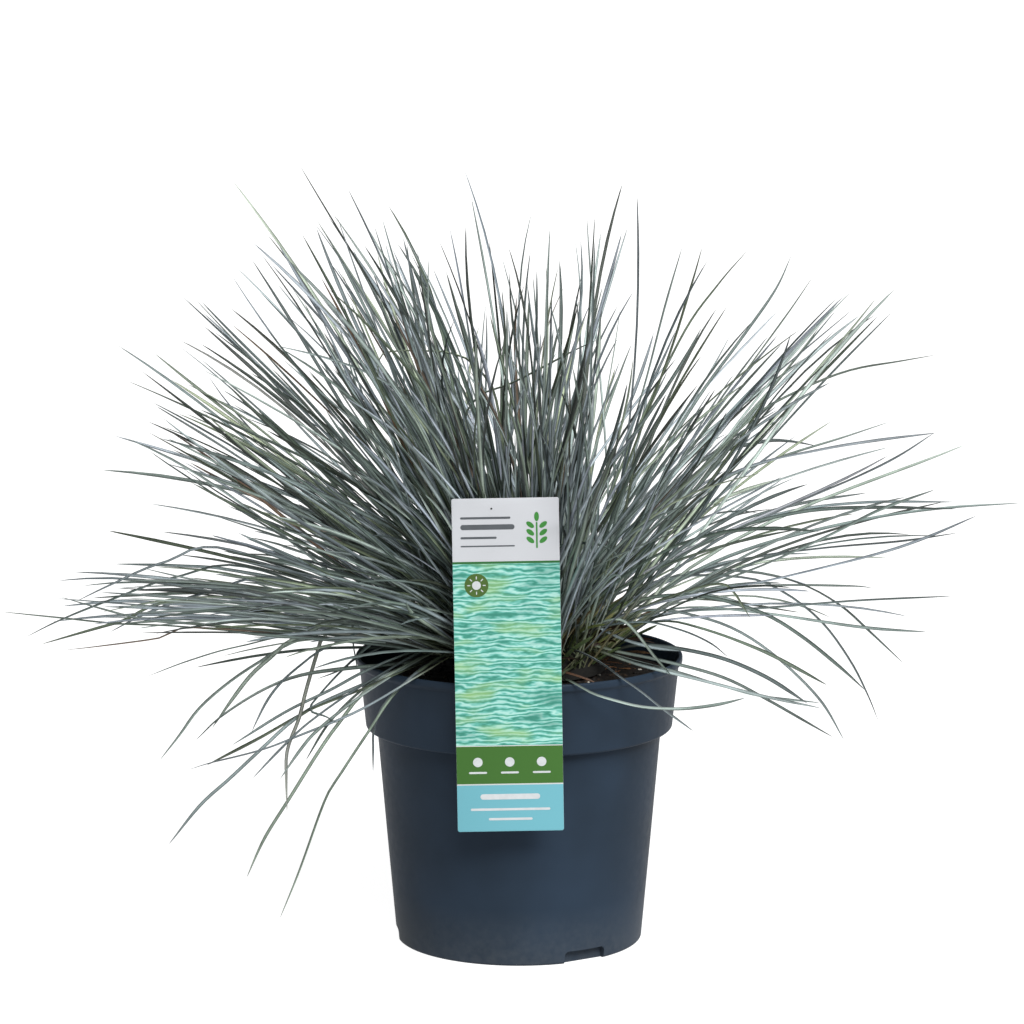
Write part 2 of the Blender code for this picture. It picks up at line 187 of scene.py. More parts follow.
# Sheaves: how the leaves spread in the picture. Angle from straight up, to the right, leaves
# within a sheaf, reach of the middle one and how far the reaches differ, in millimetres, the
# bow, which is how far the middle stands above the straight line, as a share of the length,
# and the share of the core's leaves that are kept there
SHEAF_WIDTH = 8.0
SHEAVES = (
    (-92.0, 7, 150.0, 30.0, 0.04, 0.0),
    (-84.0, 42, 196.0, 36.0, 0.035, 0.15),
    (-76.0, 38, 156.0, 30.0, 0.035, 0.5),
    (-68.0, 24, 142.0, 36.0, 0.035, 0.6),
    (-60.0, 34, 206.0, 24.0, 0.03, 0.7),
    (-52.0, 29, 196.0, 28.0, 0.03, 0.75),
    (-44.0, 32, 170.0, 42.0, 0.03, 0.85),
    (-36.0, 32, 168.0, 42.0, 0.02, 0.95),
    (-28.0, 45, 192.0, 32.0, 0.02, 0.95),
    (-20.0, 50, 200.0, 20.0, 0.02, 0.9),
    (-12.0, 34, 145.0, 32.0, 0.01, 0.7),
    (-4.0, 36, 162.0, 32.0, 0.01, 0.7),
    (4.0, 32, 158.0, 32.0, 0.01, 0.6),
    (12.0, 30, 165.0, 38.0, 0.01, 0.6),
    (20.0, 26, 130.0, 32.0, 0.01, 0.6),
    (28.0, 22, 150.0, 36.0, 0.02, 0.5),
    (36.0, 21, 165.0, 40.0, 0.02, 0.3),
    (44.0, 33, 182.0, 44.0, 0.03, 0.5),
    (52.0, 11, 128.0, 40.0, 0.04, 0.1),
    (60.0, 7, 126.0, 45.0, 0.05, 0.05),
    (68.0, 6, 142.0, 48.0, 0.06, 0.05),
    (76.0, 7, 150.0, 42.0, 0.07, 0.05),
    (84.0, 4, 160.0, 25.0, 0.08, 0.0),
)
CORE_SHARE = (0.5, 0.85)
NEAREST_TIP = 70.0
FARTHEST_TIP = 250.0
ROOT_SCATTER = 15.0 * MM
BOW_ERROR = 0.02
SWAY = 0.034

# Leading leaves: the pixel of the photograph where the tip shows, and the bow, which is how
# far the middle stands above the straight line, as a share of the length
LEADING_LENGTH = 262.0
LEADING_TIPS = (
    (232, 180, 0.03), (299, 164, 0.03), (347, 187, 0.02), (337, 216, 0.02), (266, 233, 0.03),
    (252, 242, 0.04), (236, 267, 0.03), (302, 234, 0.03), (316, 227, 0.02), (374, 225, 0.02),
    (364, 245, 0.02), (350, 248, 0.03), (403, 237, 0.02), (417, 250, 0.02), (429, 257, 0.01),
    (446, 271, 0.01), (393, 256, 0.02), (285, 257, 0.03), (271, 264, 0.04), (261, 293, 0.04),
    (182, 296, 0.05), (194, 298, 0.03), (201, 301, 0.04), (204, 326, 0.05), (213, 331, 0.04),
    (231, 324, 0.04), (179, 346, 0.02), (117, 345, 0.01), (125, 380, 0.05), (266, 328, 0.04),
    (278, 347, 0.03), (201, 369, 0.05), (199, 409, 0.06), (159, 438, 0.06), (101, 470, 0.06),
    (125, 438, 0.02), (464, 169, 0.01), (471, 196, 0.01), (466, 224, 0.01), (489, 240, 0.01),
    (508, 246, 0.01), (532, 212, 0.01), (587, 217, 0.01), (623, 182, 0.01), (637, 194, 0.02),
    (622, 232, 0.02), (628, 226, 0.01), (601, 231, 0.01), (595, 240, 0.02), (575, 240, 0.01),
    (552, 299, 0.01), (564, 287, 0.01), (618, 305, 0.01), (633, 358, 0.02), (626, 360, 0.01),
    (708, 260, 0.03), (717, 308, 0.03), (728, 305, 0.02), (702, 355, 0.02), (778, 335, 0.03),
    (791, 333, 0.02), (802, 328, 0.03), (845, 295, 0.02), (838, 297, 0.01), (837, 309, 0.03),
    (877, 297, 0.02), (895, 289, 0.02), (831, 382, 0.05), (890, 447, 0.06), (889, 455, 0.05),
    (906, 497, 0.06), (911, 535, 0.05), (91, 598, 0.06),
)

# Routes of single stray leaves: the depth of the tip in millimetres, and the pixels that the
# leaf passes from its tip towards the crown
ROUTES = (
    (0, (3, 612), (60, 618), (120, 624), (200, 628)),
    (-15, (26, 637), (60, 620), (110, 600), (180, 576), (260, 570)),
    (20, (42, 644), (80, 633), (120, 622), (200, 602)),
    (-25, (65, 650), (100, 646), (160, 638), (210, 628)),
    (-90, (148, 676), (190, 660), (240, 646), (320, 634)),
    (40, (77, 601), (110, 585), (165, 562), (240, 552)),
    (-20, (61, 597), (100, 608), (150, 620), (220, 626)),
    (30, (63, 606), (120, 601), (160, 603), (260, 612)),
    (60, (115, 564), (180, 566), (230, 570), (320, 590)),
    (-60, (122, 580), (200, 583), (250, 588), (330, 605)),
    (50, (110, 632), (150, 612), (210, 592), (290, 580)),
    (10, (118, 606), (180, 608), (250, 610), (330, 616)),
    (-30, (102, 612), (170, 600), (240, 597), (330, 606)),
    (45, (130, 590), (190, 590), (260, 598), (340, 612)),
    (-70, (160, 760), (180, 735), (200, 708), (230, 682), (260, 662), (300, 640), (380, 622)),
    (-80, (212, 728), (230, 702), (250, 676), (270, 658), (300, 636), (380, 612)),
    (-88, (252, 731), (266, 703), (280, 684), (300, 666), (330, 646), (400, 622)),
    (-75, (188, 770), (210, 763), (260, 750), (300, 735), (360, 710), (420, 675), (455, 655)),
    (-75, (169, 844), (200, 805), (230, 778), (260, 750), (300, 715), (350, 690), (440, 655)),
    (-85, (247, 877), (265, 838), (290, 798), (320, 750), (340, 722), (370, 688), (440, 650)),
    (-90, (280, 918), (300, 868), (325, 800), (340, 775), (370, 730), (400, 688), (450, 652)),
    (-92, (253, 778), (280, 750), (310, 722), (365, 684), (440, 645)),
    (-96, (280, 779), (300, 750), (320, 728), (370, 690), (440, 650)),
    (-65, (207, 765), (260, 738), (310, 710), (360, 690), (400, 672), (452, 652)),
    (-60, (317, 679), (340, 670), (360, 657), (410, 640)),
    (-80, (306, 760), (330, 722), (362, 690), (405, 660), (440, 646)),
    (-70, (232, 745), (285, 712), (330, 690), (372, 668), (430, 648)),
    (-60, (671, 675), (655, 657), (646, 645), (634, 630), (622, 620), (606, 621), (585, 631), (566, 642)),
    (-72, (745, 698), (720, 704), (693, 708), (670, 709), (641, 707), (616, 701), (594, 694), (576, 684), (561, 675)),
    (-82, (693, 731), (662, 708), (641, 691), (621, 677), (603, 664), (585, 654), (566, 648)),
    (-30, (680, 651), (655, 648), (634, 643), (617, 637), (603, 630), (586, 620), (574, 612), (568, 624)),
    (-45, (574, 627), (581, 623), (582, 615), (575, 609), (565, 610), (560, 616), (556, 626)),
    (-70, (622, 564), (615, 553), (603, 546), (591, 543), (577, 543), (563, 546), (552, 556)),
    (20, (758, 513), (742, 511), (713, 514), (675, 529), (656, 541), (620, 580)),
    (-60, (750, 618), (742, 605), (734, 593), (722, 584), (690, 590), (640, 610)),
    (-20, (597, 340), (575, 350), (545, 366), (510, 384), (475, 400), (465, 450)),
    (-50, (833, 737), (765, 698), (720, 676), (660, 660), (620, 652), (580, 643)),
    (-40, (820, 703), (760, 696), (720, 685), (680, 672), (640, 662), (590, 648)),
    (-70, (728, 657), (710, 643), (680, 630), (640, 622), (590, 632)),
    (-60, (827, 685), (800, 670), (760, 650), (700, 628), (660, 621), (600, 634)),
    (-40, (844, 740), (820, 700), (780, 660), (740, 632), (700, 617), (650, 610), (600, 628)),
    (-55, (865, 690), (840, 667), (800, 635), (760, 612), (700, 596), (640, 600), (600, 626)),
    (20, (878, 720), (868, 695), (850, 660), (820, 620), (780, 590), (740, 577), (660, 580), (600, 620)),
    (40, (903, 663), (870, 632), (840, 605), (800, 583), (750, 572), (680, 575), (600, 615)),
    (60, (872, 588), (850, 586), (760, 586), (680, 596), (610, 625)),
    (10, (952, 596), (860, 600), (760, 608), (680, 612), (610, 632)),
    (-30, (927, 632), (860, 627), (760, 613), (680, 608), (610, 628)),
    (-60, (807, 703), (762, 675), (710, 655), (640, 645)),
    (-45, (820, 708), (766, 697), (700, 680), (640, 665), (590, 648)),
    (40, (891, 313), (830, 375), (770, 440), (720, 495), (650, 570)),
    (30, (935, 355), (900, 361), (850, 370), (800, 390), (750, 420), (680, 495)),
    (50, (889, 422), (840, 438), (780, 457), (720, 482), (650, 545)),
    (20, (936, 433), (880, 440), (820, 450), (740, 470), (670, 515)),
    (-40, (934, 433), (900, 455), (860, 475), (780, 510), (700, 552)),
    (0, (1020, 503), (940, 508), (860, 520), (760, 545), (680, 580)),
    (-20, (976, 516), (920, 540), (870, 556), (780, 578), (680, 600)),
    (40, (957, 533), (900, 541), (820, 548), (740, 560), (660, 590)),
    (60, (954, 502), (860, 503), (780, 514), (700, 545), (640, 590)),
    (-50, (957, 509), (880, 507), (800, 512), (720, 535), (650, 580)),
    (90, (866, 493), (800, 504), (730, 526), (650, 580)),
    (-60, (934, 490), (880, 510), (830, 535), (760, 566), (680, 598)),
    (100, (817, 446), (790, 441), (760, 442), (700, 462), (640, 525)),
    (60, (682, 248), (664, 310), (640, 400), (600, 520)),
    (-50, (702, 248), (690, 290), (664, 370), (610, 510)),
    (80, (747, 251), (718, 285), (680, 340), (620, 470)),
    (-30, (791, 256), (775, 290), (740, 340), (690, 410), (620, 530)),
    (60, (812, 278), (790, 310), (750, 365), (690, 450), (620, 560)),
    (-30, (378, 389), (378, 368), (379, 358), (384, 353), (400, 351), (426, 351), (455, 354), (480, 370), (500, 420)),
    (-50, (277, 346), (322, 357), (365, 372), (405, 395), (440, 430), (475, 490), (500, 560)),
    (-95, (287, 811), (286, 780), (287, 750), (299, 718), (306, 690), (318, 650), (323, 636), (335, 633), (400, 640)),
    (-60, (357, 668), (353, 640), (353, 620), (360, 600), (375, 575), (410, 560), (450, 580)),
    (-85, (340, 725), (325, 716), (309, 710), (318, 696), (340, 672), (370, 645), (400, 625), (455, 605)),
    (-70, (373, 772), (373, 750), (374, 728), (383, 706), (400, 688), (430, 664)),
    (-84, (196, 740), (222, 716), (262, 690), (300, 675), (350, 668), (400, 664), (445, 656)),
)

# Label: its card, as in the frame
LABEL_WIDTH = 53.4 * MM
LABEL_HEIGHT = 169.7 * MM
LABEL_THICK = 0.8 * MM
LABEL_BACK_Y = -87.0 * MM
LABEL_MIDDLE = Vector((-5.7 * MM, LABEL_BACK_Y, 161.6 * MM))
LABEL_LEAN = math.radians(-1.0)
LABEL_CORNER = 1.1 * MM
HOOK_WIDTH = 18.0 * MM
HOOK_THICK = 0.8 * MM
HOOK_DROP = 8.0 * MM
HOOK_CLEARANCE = 2.2 * MM
TOUCH_GAP = 0.3 * MM
LABEL_MAP = "label_map"
PANELS = (
    (0.000, "#69a6b2"),
    (0.137, "#bdc0bf"),
    (0.1445, "#3e662e"),
    (0.2545, "#bdc0bf"),
    (0.2605, "#336338"),
    (0.8055, "#336338"),
    (0.8100, "#babcc0"),
)
RIPPLE_PERIOD = 2.3
PRINT_THICK = 0.08 * MM
PRINT_SUNK = 0.02 * MM
PINHOLE_RADIUS = 0.55 * MM
PINHOLE_PLACE = Vector((-6.9 * MM, 0.0, 79.6 * MM))

# Studio: how bright the floor and the world look, and how much they light the plant
FLOOR_SEEN = 0.96
FLOOR_BOUNCE = 0.55
FLOOR_SIZE = 60.0
AMBIENT_LIGHT = 0.19


def linear(code):
    """Turns a hex sRGB colour to linear RGBA."""
    values = [int(code[start : start + 2], 16) / 255.0 for start in (1, 3, 5)]
    turned = [v / 12.92 if v <= 0.04045 else ((v + 0.055) / 1.055) ** 2.4 for v in values]
    return (*turned, 1.0)


def add_node(tree, kind, inputs=None, stops=None, **settings):
    """Adds a node with its settings. An input is a value or the socket that it is linked to."""
    node = tree.nodes.new(kind)
    for name, value in settings.items():
        setattr(node, name, value)
    for name, value in (inputs or {}).items():
        if isinstance(value, bpy.types.NodeSocket):
            tree.links.new(value, node.inputs[name])
        else:
            node.inputs[name].default_value = value
    if stops:
        ramp = node.color_ramp
        while len(ramp.elements) < len(stops):
            ramp.elements.new(1.0)
        for element, (place, code) in zip(ramp.elements, stops):
            element.position = place
            element.color = linear(code)
    return node


def new_material(name):
    """An empty material: its node tree and its Principled shader, joined to the output."""
    material = bpy.data.materials.new(name)
    material.use_nodes = True
    tree = material.node_tree
    tree.nodes.clear()
    output = tree.nodes.new("ShaderNodeOutputMaterial")
    shader = tree.nodes.new("ShaderNodeBsdfPrincipled")
    tree.links.new(shader.outputs["BSDF"], output.inputs["Surface"])
    return material, tree, shader


def direction(bearing):
    """Unit vector that points outwards at a bearing."""
    angle = math.radians(bearing)
    return Vector((math.sin(angle), -math.cos(angle), 0.0))


def seen_at(pixel_x, pixel_y, depth):
    """The point with y = depth that the camera sees at a pixel of the photograph."""
    right = (pixel_x - 0.5 * PHOTO_SIZE) / CAMERA_LENS_PX
    up = (0.5 * PHOTO_SIZE - pixel_y) / CAMERA_LENS_PX
    forward = math.cos(CAMERA_PITCH) + up * math.sin(CAMERA_PITCH)
    rise = -math.sin(CAMERA_PITCH) + up * math.cos(CAMERA_PITCH)
    ray = Vector((right, forward, rise))
    return CAMERA_PLACE + ray * ((depth - CAMERA_PLACE.y) / ray.y)


def pixel_of(point):
    """The pixel of the photograph where the camera sees a point."""
    offset = Vector(point) - CAMERA_PLACE
    depth = offset.y * math.cos(CAMERA_PITCH) - offset.z * math.sin(CAMERA_PITCH)
    up = offset.y * math.sin(CAMERA_PITCH) + offset.z * math.cos(CAMERA_PITCH)
    half = 0.5 * PHOTO_SIZE
    return Vector((half + CAMERA_LENS_PX * offset.x / depth, half - CAMERA_LENS_PX * up / depth))


def finished(name, shape, materials, replaced=(), sharp=40.0):
    """Makes a bmesh a piece that rides on the one body and takes its finish from a slot."""
    mesh = bpy.data.meshes.new(name)
    shape.to_mesh(mesh)
    shape.free()
    return placed(name, mesh, materials, replaced, sharp)


def placed(name, mesh, materials, replaced=(), sharp=40.0):
    mesh.shade_smooth()
    mesh.set_sharp_from_angle(angle=math.radians(sharp))
    for material in materials:
        mesh.materials.append(material)
    piece = bpy.data.objects.new(name, mesh)
    bpy.context.scene.collection.objects.link(piece)
    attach(piece, "root")
    if replaced:
        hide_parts(*replaced)
    return piece


def leaf_material():
    """Fescue leaf under a bloom of wax: a pale silver-blue skin over green, with a soft sheen, painted shade along
    the margins and a painted highlight along the keel and groove.
    """
    material, tree, shader = new_material("waxy_fescue_leaf")
    uv = add_node(tree, "ShaderNodeUVMap", uv_map=LEAF_MAP)
    parts = add_node(tree, "ShaderNodeSeparateXYZ", {"Vector": uv.outputs["UV"]})
    across, along = parts.outputs["X"], parts.outputs["Y"]
    tones = add_node(tree, "ShaderNodeAttribute", attribute_name=LEAF_TONES)
    split = add_node(tree, "ShaderNodeSeparateColor", {"Color": tones.outputs["Color"]})
    skin = add_node(
        tree,
        "ShaderNodeValToRGB",
        {"Fac": split.outputs["Red"]},
        stops=((0.0, "#343c35"), (0.3, "#636d68"), (0.65, "#979f9d"), (1.0, "#c8cdcc")),
    )
    cast = add_node(
        tree,
        "ShaderNodeValToRGB",
        {"Fac": tones.outputs["Alpha"]},
        stops=((0.0, "#878a95"), (0.35, "#868d90"), (0.8, "#858d88"), (1.0, "#888e76")),
    )
    tinted = add_node(
        tree, "ShaderNodeVectorMath", {0: skin.outputs["Color"], 1: cast.outputs["Color"]}, operation="MULTIPLY"
    )
    lifted = add_node(
        tree, "ShaderNodeVectorMath", {0: tinted.outputs["Vector"], "Scale": 4.0}, operation="SCALE"
    )
    # Colours of the leaf's foot: pale straw and yellow-green bases, and near-black ones that paint the shade deep in
    # the clump.
    root = add_node(
        tree,
        "ShaderNodeValToRGB",
        {"Fac": split.outputs["Blue"]},
        stops=((0.0, "#12170e"), (0.4, "#4a553d"), (0.8, "#a3ad8b"), (1.0, "#8d825f")),
    )
    rise = add_node(
        tree,
        "ShaderNodeMapRange",
        {"Value": along, "From Min": 0.02, "From Max": 0.32, "To Min": 1.0, "To Max": 0.0},
        interpolation_type="SMOOTHSTEP",
    )
    body = add_node(
        tree,
        "ShaderNodeMix",
        {0: rise.outputs["Result"], 6: lifted.outputs["Vector"], 7: root.outputs["Color"]},
        data_type="RGBA",
    )
    dry = add_node(
        tree,
        "ShaderNodeMix",
        {0: split.outputs["Green"], 6: body.outputs[2], 7: linear("#7d6045")},
        data_type="RGBA",
    )
    # Painted shade and highlight: the blade's margins are darkened and its keel and groove lightened, standing in for
    # the light and shade of a folded, rounded blade.
    fold_shade_wave = add_node(tree, "ShaderNodeMath", {0: across, 1: math.tau * 2.0}, operation="MULTIPLY")
    fold_shade_cosine = add_node(tree, "ShaderNodeMath", {0: fold_shade_wave.outputs["Value"]}, operation="COSINE")
    edge = add_node(
        tree,
        "ShaderNodeMapRange",
        {"Value": fold_shade_cosine.outputs["Value"], "From Min": -1.0, "From Max": 1.0, "To Min": 1.34, "To Max": 0.46},
    )
    place = add_node(tree, "ShaderNodeTexCoord")
    mottle = add_node(
        tree,
        "ShaderNodeTexNoise",
        {"Vector": place.outputs["Object"], "Scale": 1.0 / LEAF_MOTTLE, "Detail": 3.0},
    )
    blotch = add_node(
        tree,
        "ShaderNodeMapRange",
        {"Value": mottle.outputs["Fac"], "From Min": 0.3, "From Max": 0.7, "To Min": 0.72, "To Max": 1.2},
    )
    tip = add_node(
        tree,
        "ShaderNodeMapRange",
        {"Value": along, "From Min": 0.55, "From Max": 1.0, "To Min": 1.04, "To Max": 0.6},
    )
    fold_shade_and_mottle = add_node(
        tree, "ShaderNodeMath", {0: edge.outputs["Result"], 1: blotch.outputs["Result"]}, operation="MULTIPLY"
    )
    shade = add_node(
        tree, "ShaderNodeMath", {0: fold_shade_and_mottle.outputs["Value"], 1: tip.outputs["Result"]}, operation="MULTIPLY"
    )
    shaded = add_node(
        tree, "ShaderNodeVectorMath", {0: dry.outputs[2], "Scale": shade.outputs["Value"]}, operation="SCALE"
    )
    tree.links.new(shaded.outputs["Vector"], shader.inputs["Base Color"])
    ribs = add_node(tree, "ShaderNodeMath", {0: across, 1: math.tau * LEAF_RIBS}, operation="MULTIPLY")
    wave = add_node(tree, "ShaderNodeMath", {0: ribs.outputs["Value"]}, operation="SINE")
    bump = add_node(
        tree,
        "ShaderNodeBump",
        {"Height": wave.outputs["Value"], "Strength": 0.35, "Distance": 0.08 * MM},
    )
    tree.links.new(bump.outputs["Normal"], shader.inputs["Normal"])
    shader.inputs["Roughness"].default_value = 0.38
    shader.inputs["IOR"].default_value = 1.42
    return material


def ring_places(rings):
    """Where the rings of a leaf lie, as shares of its length: closest together at the tip."""
    share = np.linspace(0.0, 1.0, rings + 1)
    return (1.0 - (1.0 - share) ** 1.5) * (1.0 - 0.45 * (1.0 - share) ** 3)


def leaf_prototype(rings):
    """A straight leaf, one unit long and one wide: a folded strip that closes in a point."""
    shape = bmesh.new()
    bmesh.ops.create_circle(shape, cap_ends=True, segments=len(LEAF_FOLD), radius=0.5)
    corner = shape.verts.layers.int.new("corner")
    shape.verts.ensure_lookup_table()
    for number, (x, y) in enumerate(LEAF_FOLD):
        shape.verts[number].co = (x, y, 0.0)
        shape.verts[number][corner] = number
    edges = list(shape.edges)
    for _ in range(rings):
        grown = bmesh.ops.extrude_edge_only(shape, edges=edges)["geom"]
        verts = [item for item in grown if isinstance(item, bmesh.types.BMVert)]
        edges = [item for item in grown if isinstance(item, bmesh.types.BMEdge)]
        bmesh.ops.translate(shape, vec=(0.0, 0.0, 1.0 / rings), verts=verts)
    bmesh.ops.pointmerge(shape, verts=verts, merge_co=(0.0, 0.0, 1.0))
    bmesh.ops.recalc_face_normals(shape, faces=shape.faces)
    layer = shape.loops.layers.uv.new(LEAF_MAP)
    places = ring_places(rings)
    for face in shape.faces:
        numbers = {loop.vert[corner] for loop in face.loops if loop.vert.co.z < 1.0}
        wraps = numbers == {0, len(LEAF_FOLD) - 1}
        for loop in face.loops:
            number = loop.vert[corner]
            if wraps and number == 0:
                number = len(LEAF_FOLD)
            loop[layer].uv = (number / len(LEAF_FOLD), places[round(loop.vert.co.z * rings)])
    mesh = bpy.data.meshes.new("leaf_prototype")
    shape.to_mesh(mesh)
    shape.free()
    return mesh


def crown_place(spread, bearing):
    """Point and outward normal on the crown's dome."""
    turn = math.asin(min(DOME_REACH * spread, 0.999))
    out = direction(bearing)
    point = out * CROWN_RADIUS * math.sin(turn)
    point += Vector((CROWN_X, 0.0, CROWN_FOOT + CROWN_HEIGHT * math.cos(turn)))
    normal = out * math.sin(turn) / CROWN_RADIUS
    normal += Vector((0.0, 0.0, math.cos(turn) / CROWN_HEIGHT))
    return point, normal.normalized()


def outer_leaf(bearing):
    """Root lean, tip lean, length and bend of the outermost leaves at a bearing."""
    last, first = OUTER_LEAVES[-1], OUTER_LEAVES[0]
    ring = ((last[0] - 360.0, *last[1:]), *OUTER_LEAVES, (first[0] + 360.0, *first[1:]))
    angle = bearing % 360.0
    for low, high in zip(ring, ring[1:]):
        if low[0] <= angle <= high[0]:
            share = (angle - low[0]) / (high[0] - low[0])
            share = share * share * (3.0 - 2.0 * share)
            return [start + (end - start) * share for start, end in zip(low[1:], high[1:])]
    raise ValueError(f"no leaf at bearing {bearing}")


def leaf_habit(spread, bearing):
    """Root lean, tip lean, length and bend of the leaves at a place on the crown."""
    root_lean, tip_lean, length, bend = outer_leaf(bearing)
    root = root_lean * spread**LEAN_POWER
    tip = UPRIGHT_BEND * spread + (tip_lean - UPRIGHT_BEND) * spread**DROOP_POWER
    full_length = UPRIGHT_LENGTH + (length - UPRIGHT_LENGTH) * spread
    late = UPRIGHT_BEND_LATE + (bend - UPRIGHT_BEND_LATE) * spread
    return root, max(tip, root), full_length * MM, late


def touches_holder(path):
    """True if a leaf's path runs through the pot's wall, the soil, the label or the floor."""
    reach = np.hypot(path[:, 0], path[:, 1])
    height = path[:, 2]
    in_pot = (reach < RIM_RADIUS + LEAF_ROOM) & (reach > WALL_CHECK_RADIUS) & (height < POT_HEIGHT + LEAF_ROOM)
    in_pot |= (reach < RIM_RADIUS + LEAF_ROOM) & (height < SOIL_WALL_HEIGHT)
    beside = np.abs(path[:, 0] - LABEL_MIDDLE.x) < 0.5 * LABEL_WIDTH + LEAF_ROOM
    level = np.abs(height - LABEL_MIDDLE.z) < 0.5 * LABEL_HEIGHT + LEAF_ROOM
    in_label = beside & level & (path[:, 1] < LABEL_BACK_Y + LEAF_ROOM)
    return bool(in_pot.any() or in_label.any() or (height < FLOOR_ROOM).any())


def leaves_box(path):
    """True if the path leaves the box that the frame's solids fill."""
    low, high = np.array(CAD_LOW), np.array(CAD_HIGH)
    return bool((path < low).any() or (path > high).any())


def field_path(chance, spread, bearing, length):
    """A leaf's path through the field of leaves, with a lean, drift and wave of its own."""
    start, normal = crown_place(spread, bearing)
    root, tip, full_length, late = leaf_habit(spread, bearing)
    start_lean = math.degrees(normal.angle(Vector((0.0, 0.0, 1.0))))
    lean_error = chance.gauss(0.0, LEAN_ERROR)
    droop = chance.uniform(*DROOP_RANGE)
    drift = chance.gauss(0.0, DRIFT_ERROR)
    swing = chance.gauss(0.0, SWING_ERROR)
    stride = length / LEAF_STEPS
    along = (np.arange(LEAF_STEPS) + 0.5) * stride
    settle = np.minimum(1.0, along / (ROOT_TURN * MM))
    lean = start_lean + (root + lean_error - start_lean) * settle
    lean += droop * (tip - root) * (along / full_length) ** late
    turn = bearing + swing * settle + drift * (along / full_length) ** 1.5
    lean, turn = np.radians(lean), np.radians(turn)
    steps = np.stack(
        (np.sin(lean) * np.sin(turn), -np.sin(lean) * np.cos(turn), np.cos(lean)), axis=1
    )
    path = np.array(start) + np.vstack((np.zeros(3), np.cumsum(stride * steps, axis=0)))
    return path


def leaf_looks(chance, length):
    """Width, roll, twist and colours of one leaf."""
    return {
        "width": LEAF_WIDTH * MM * chance.uniform(0.72, 1.18) * (0.8 + 0.2 * length / (UPRIGHT_LENGTH * MM)),
        "roll": math.radians(chance.uniform(-80.0, 80.0)),
        "twist": math.radians(chance.gauss(0.0, 80.0)),
        "tone": min(1.0, max(0.0, chance.gauss(0.52, 0.32))),
        "dry": chance.uniform(0.3, 0.9) if chance.random() < DRY_SHARE else chance.uniform(0.0, 0.08),
        "root": chance.random(),
        "cast": chance.random(),
    }


def grown_leaf(chance, path, bearing, length):
    return {"path": path, "bearing": bearing, **leaf_looks(chance, length)}


def crown_middle():
    return Vector((CROWN_X, 0.0, CROWN_FOOT + 0.6 * CROWN_HEIGHT))


def sheaf(angle):
    """Reach of the middle leaf, in metres, and the share of the core kept, at an angle."""
    angle = min(max(angle, SHEAVES[0][0]), SHEAVES[-1][0])
    for low, high in zip(SHEAVES, SHEAVES[1:]):
        if angle <= high[0]:
            share = (angle - low[0]) / (high[0] - low[0])
            reach = low[2] + (high[2] - low[2]) * share
            return reach * MM, low[5] + (high[5] - low[5]) * share
    raise ValueError(f"no sheaf at angle {angle}")


def seen_reach(path):
    """Angle and reach of a leaf's tip from the crown, as the camera sees them."""
    offset = Vector(path[-1]) - crown_middle()
    rise = offset.z * math.cos(CAMERA_PITCH) + offset.y * math.sin(CAMERA_PITCH)
    return math.degrees(math.atan2(offset.x, rise)), math.hypot(offset.x, rise)


def core_leaf(chance, spread, bearing):
    """Draws one leaf of the core that points to the front, the back or up, or none."""
    ease = 1.0
    for _ in range(TRIES):
        length = leaf_habit(spread, bearing)[2] * chance.uniform(SHORTEST_SHARE, LONGEST_SHARE)
        path = field_path(chance, spread * ease, bearing, length)
        if touches_holder(path) or leaves_box(path):
            ease *= 0.93
            continue
        angle, reach = seen_reach(path)
        middle_reach, kept = sheaf(angle)
        if reach < middle_reach * chance.uniform(*CORE_SHARE):
            return grown_leaf(chance, path, bearing, length) if chance.random() < kept else None
    return None


def tuft_home(number):
    """Spread and bearing of a tuft's middle on the crown, as in the frame."""
    spread = math.sqrt((number + FIRST_SPREAD) / TUFT_COUNT)
    return spread, (FIRST_BEARING + number * GOLDEN_ANGLE) % 360.0


def tuft_leaves(number, chance):
    home_spread, home_bearing = tuft_home(number)
    home = direction(home_bearing) * home_spread
    leaves = []
    for _ in range(LEAVES_PER_TUFT):
        offset = direction(chance.uniform(0.0, 360.0)) * math.sqrt(chance.random())
        spot = home + offset * (TUFT_REACH * MM / CROWN_RADIUS)
        spread = min(spot.length, 1.0)
        bearing = math.degrees(math.atan2(spot.x, -spot.y)) % 360.0
        leaf = core_leaf(chance, spread, bearing)
        if leaf:
            leaves.append(leaf)
    return leaves


def width_profile(rings):
    """Width along a leaf: a narrow foot, a long even blade and a short fine tip."""
    share = ring_places(rings)
    profile = 1.0 - LEAF_FOOT * np.clip(1.0 - share / 0.3, 0.0, 1.0)
    return profile * np.clip((1.0 - share) / LEAF_TAPER, 0.0, 1.0) ** 0.55


def leaf_frames(leaves, rings):
    """Ring centres, side vectors and up vectors of all leaves, each as leaves x rings x 3."""
    share = ring_places(rings)
    before = np.minimum((share * LEAF_STEPS).astype(int), LEAF_STEPS - 1)
    rest = (share * LEAF_STEPS - before)[:, None]
    full = np.stack([leaf["path"] for leaf in leaves])
    paths = full[:, before] * (1.0 - rest) + full[:, before + 1] * rest
    slopes = np.gradient(full, axis=1)
    ahead = slopes[:, before] * (1.0 - rest) + slopes[:, before + 1] * rest
    ahead /= np.linalg.norm(ahead, axis=2, keepdims=True)
    flat = np.array([direction(leaf["bearing"] + 90.0) for leaf in leaves])[:, None, :]
    sides = flat - ahead * np.sum(flat * ahead, axis=2, keepdims=True)
    sides /= np.linalg.norm(sides, axis=2, keepdims=True)
    ups = np.cross(ahead, sides)
    roll = np.array([leaf["roll"] for leaf in leaves])[:, None]
    roll = roll + np.array([leaf["twist"] for leaf in leaves])[:, None] * share
    cos, sin = np.cos(roll)[..., None], np.sin(roll)[..., None]
    return paths, sides * cos + ups * sin, ups * cos - sides * sin


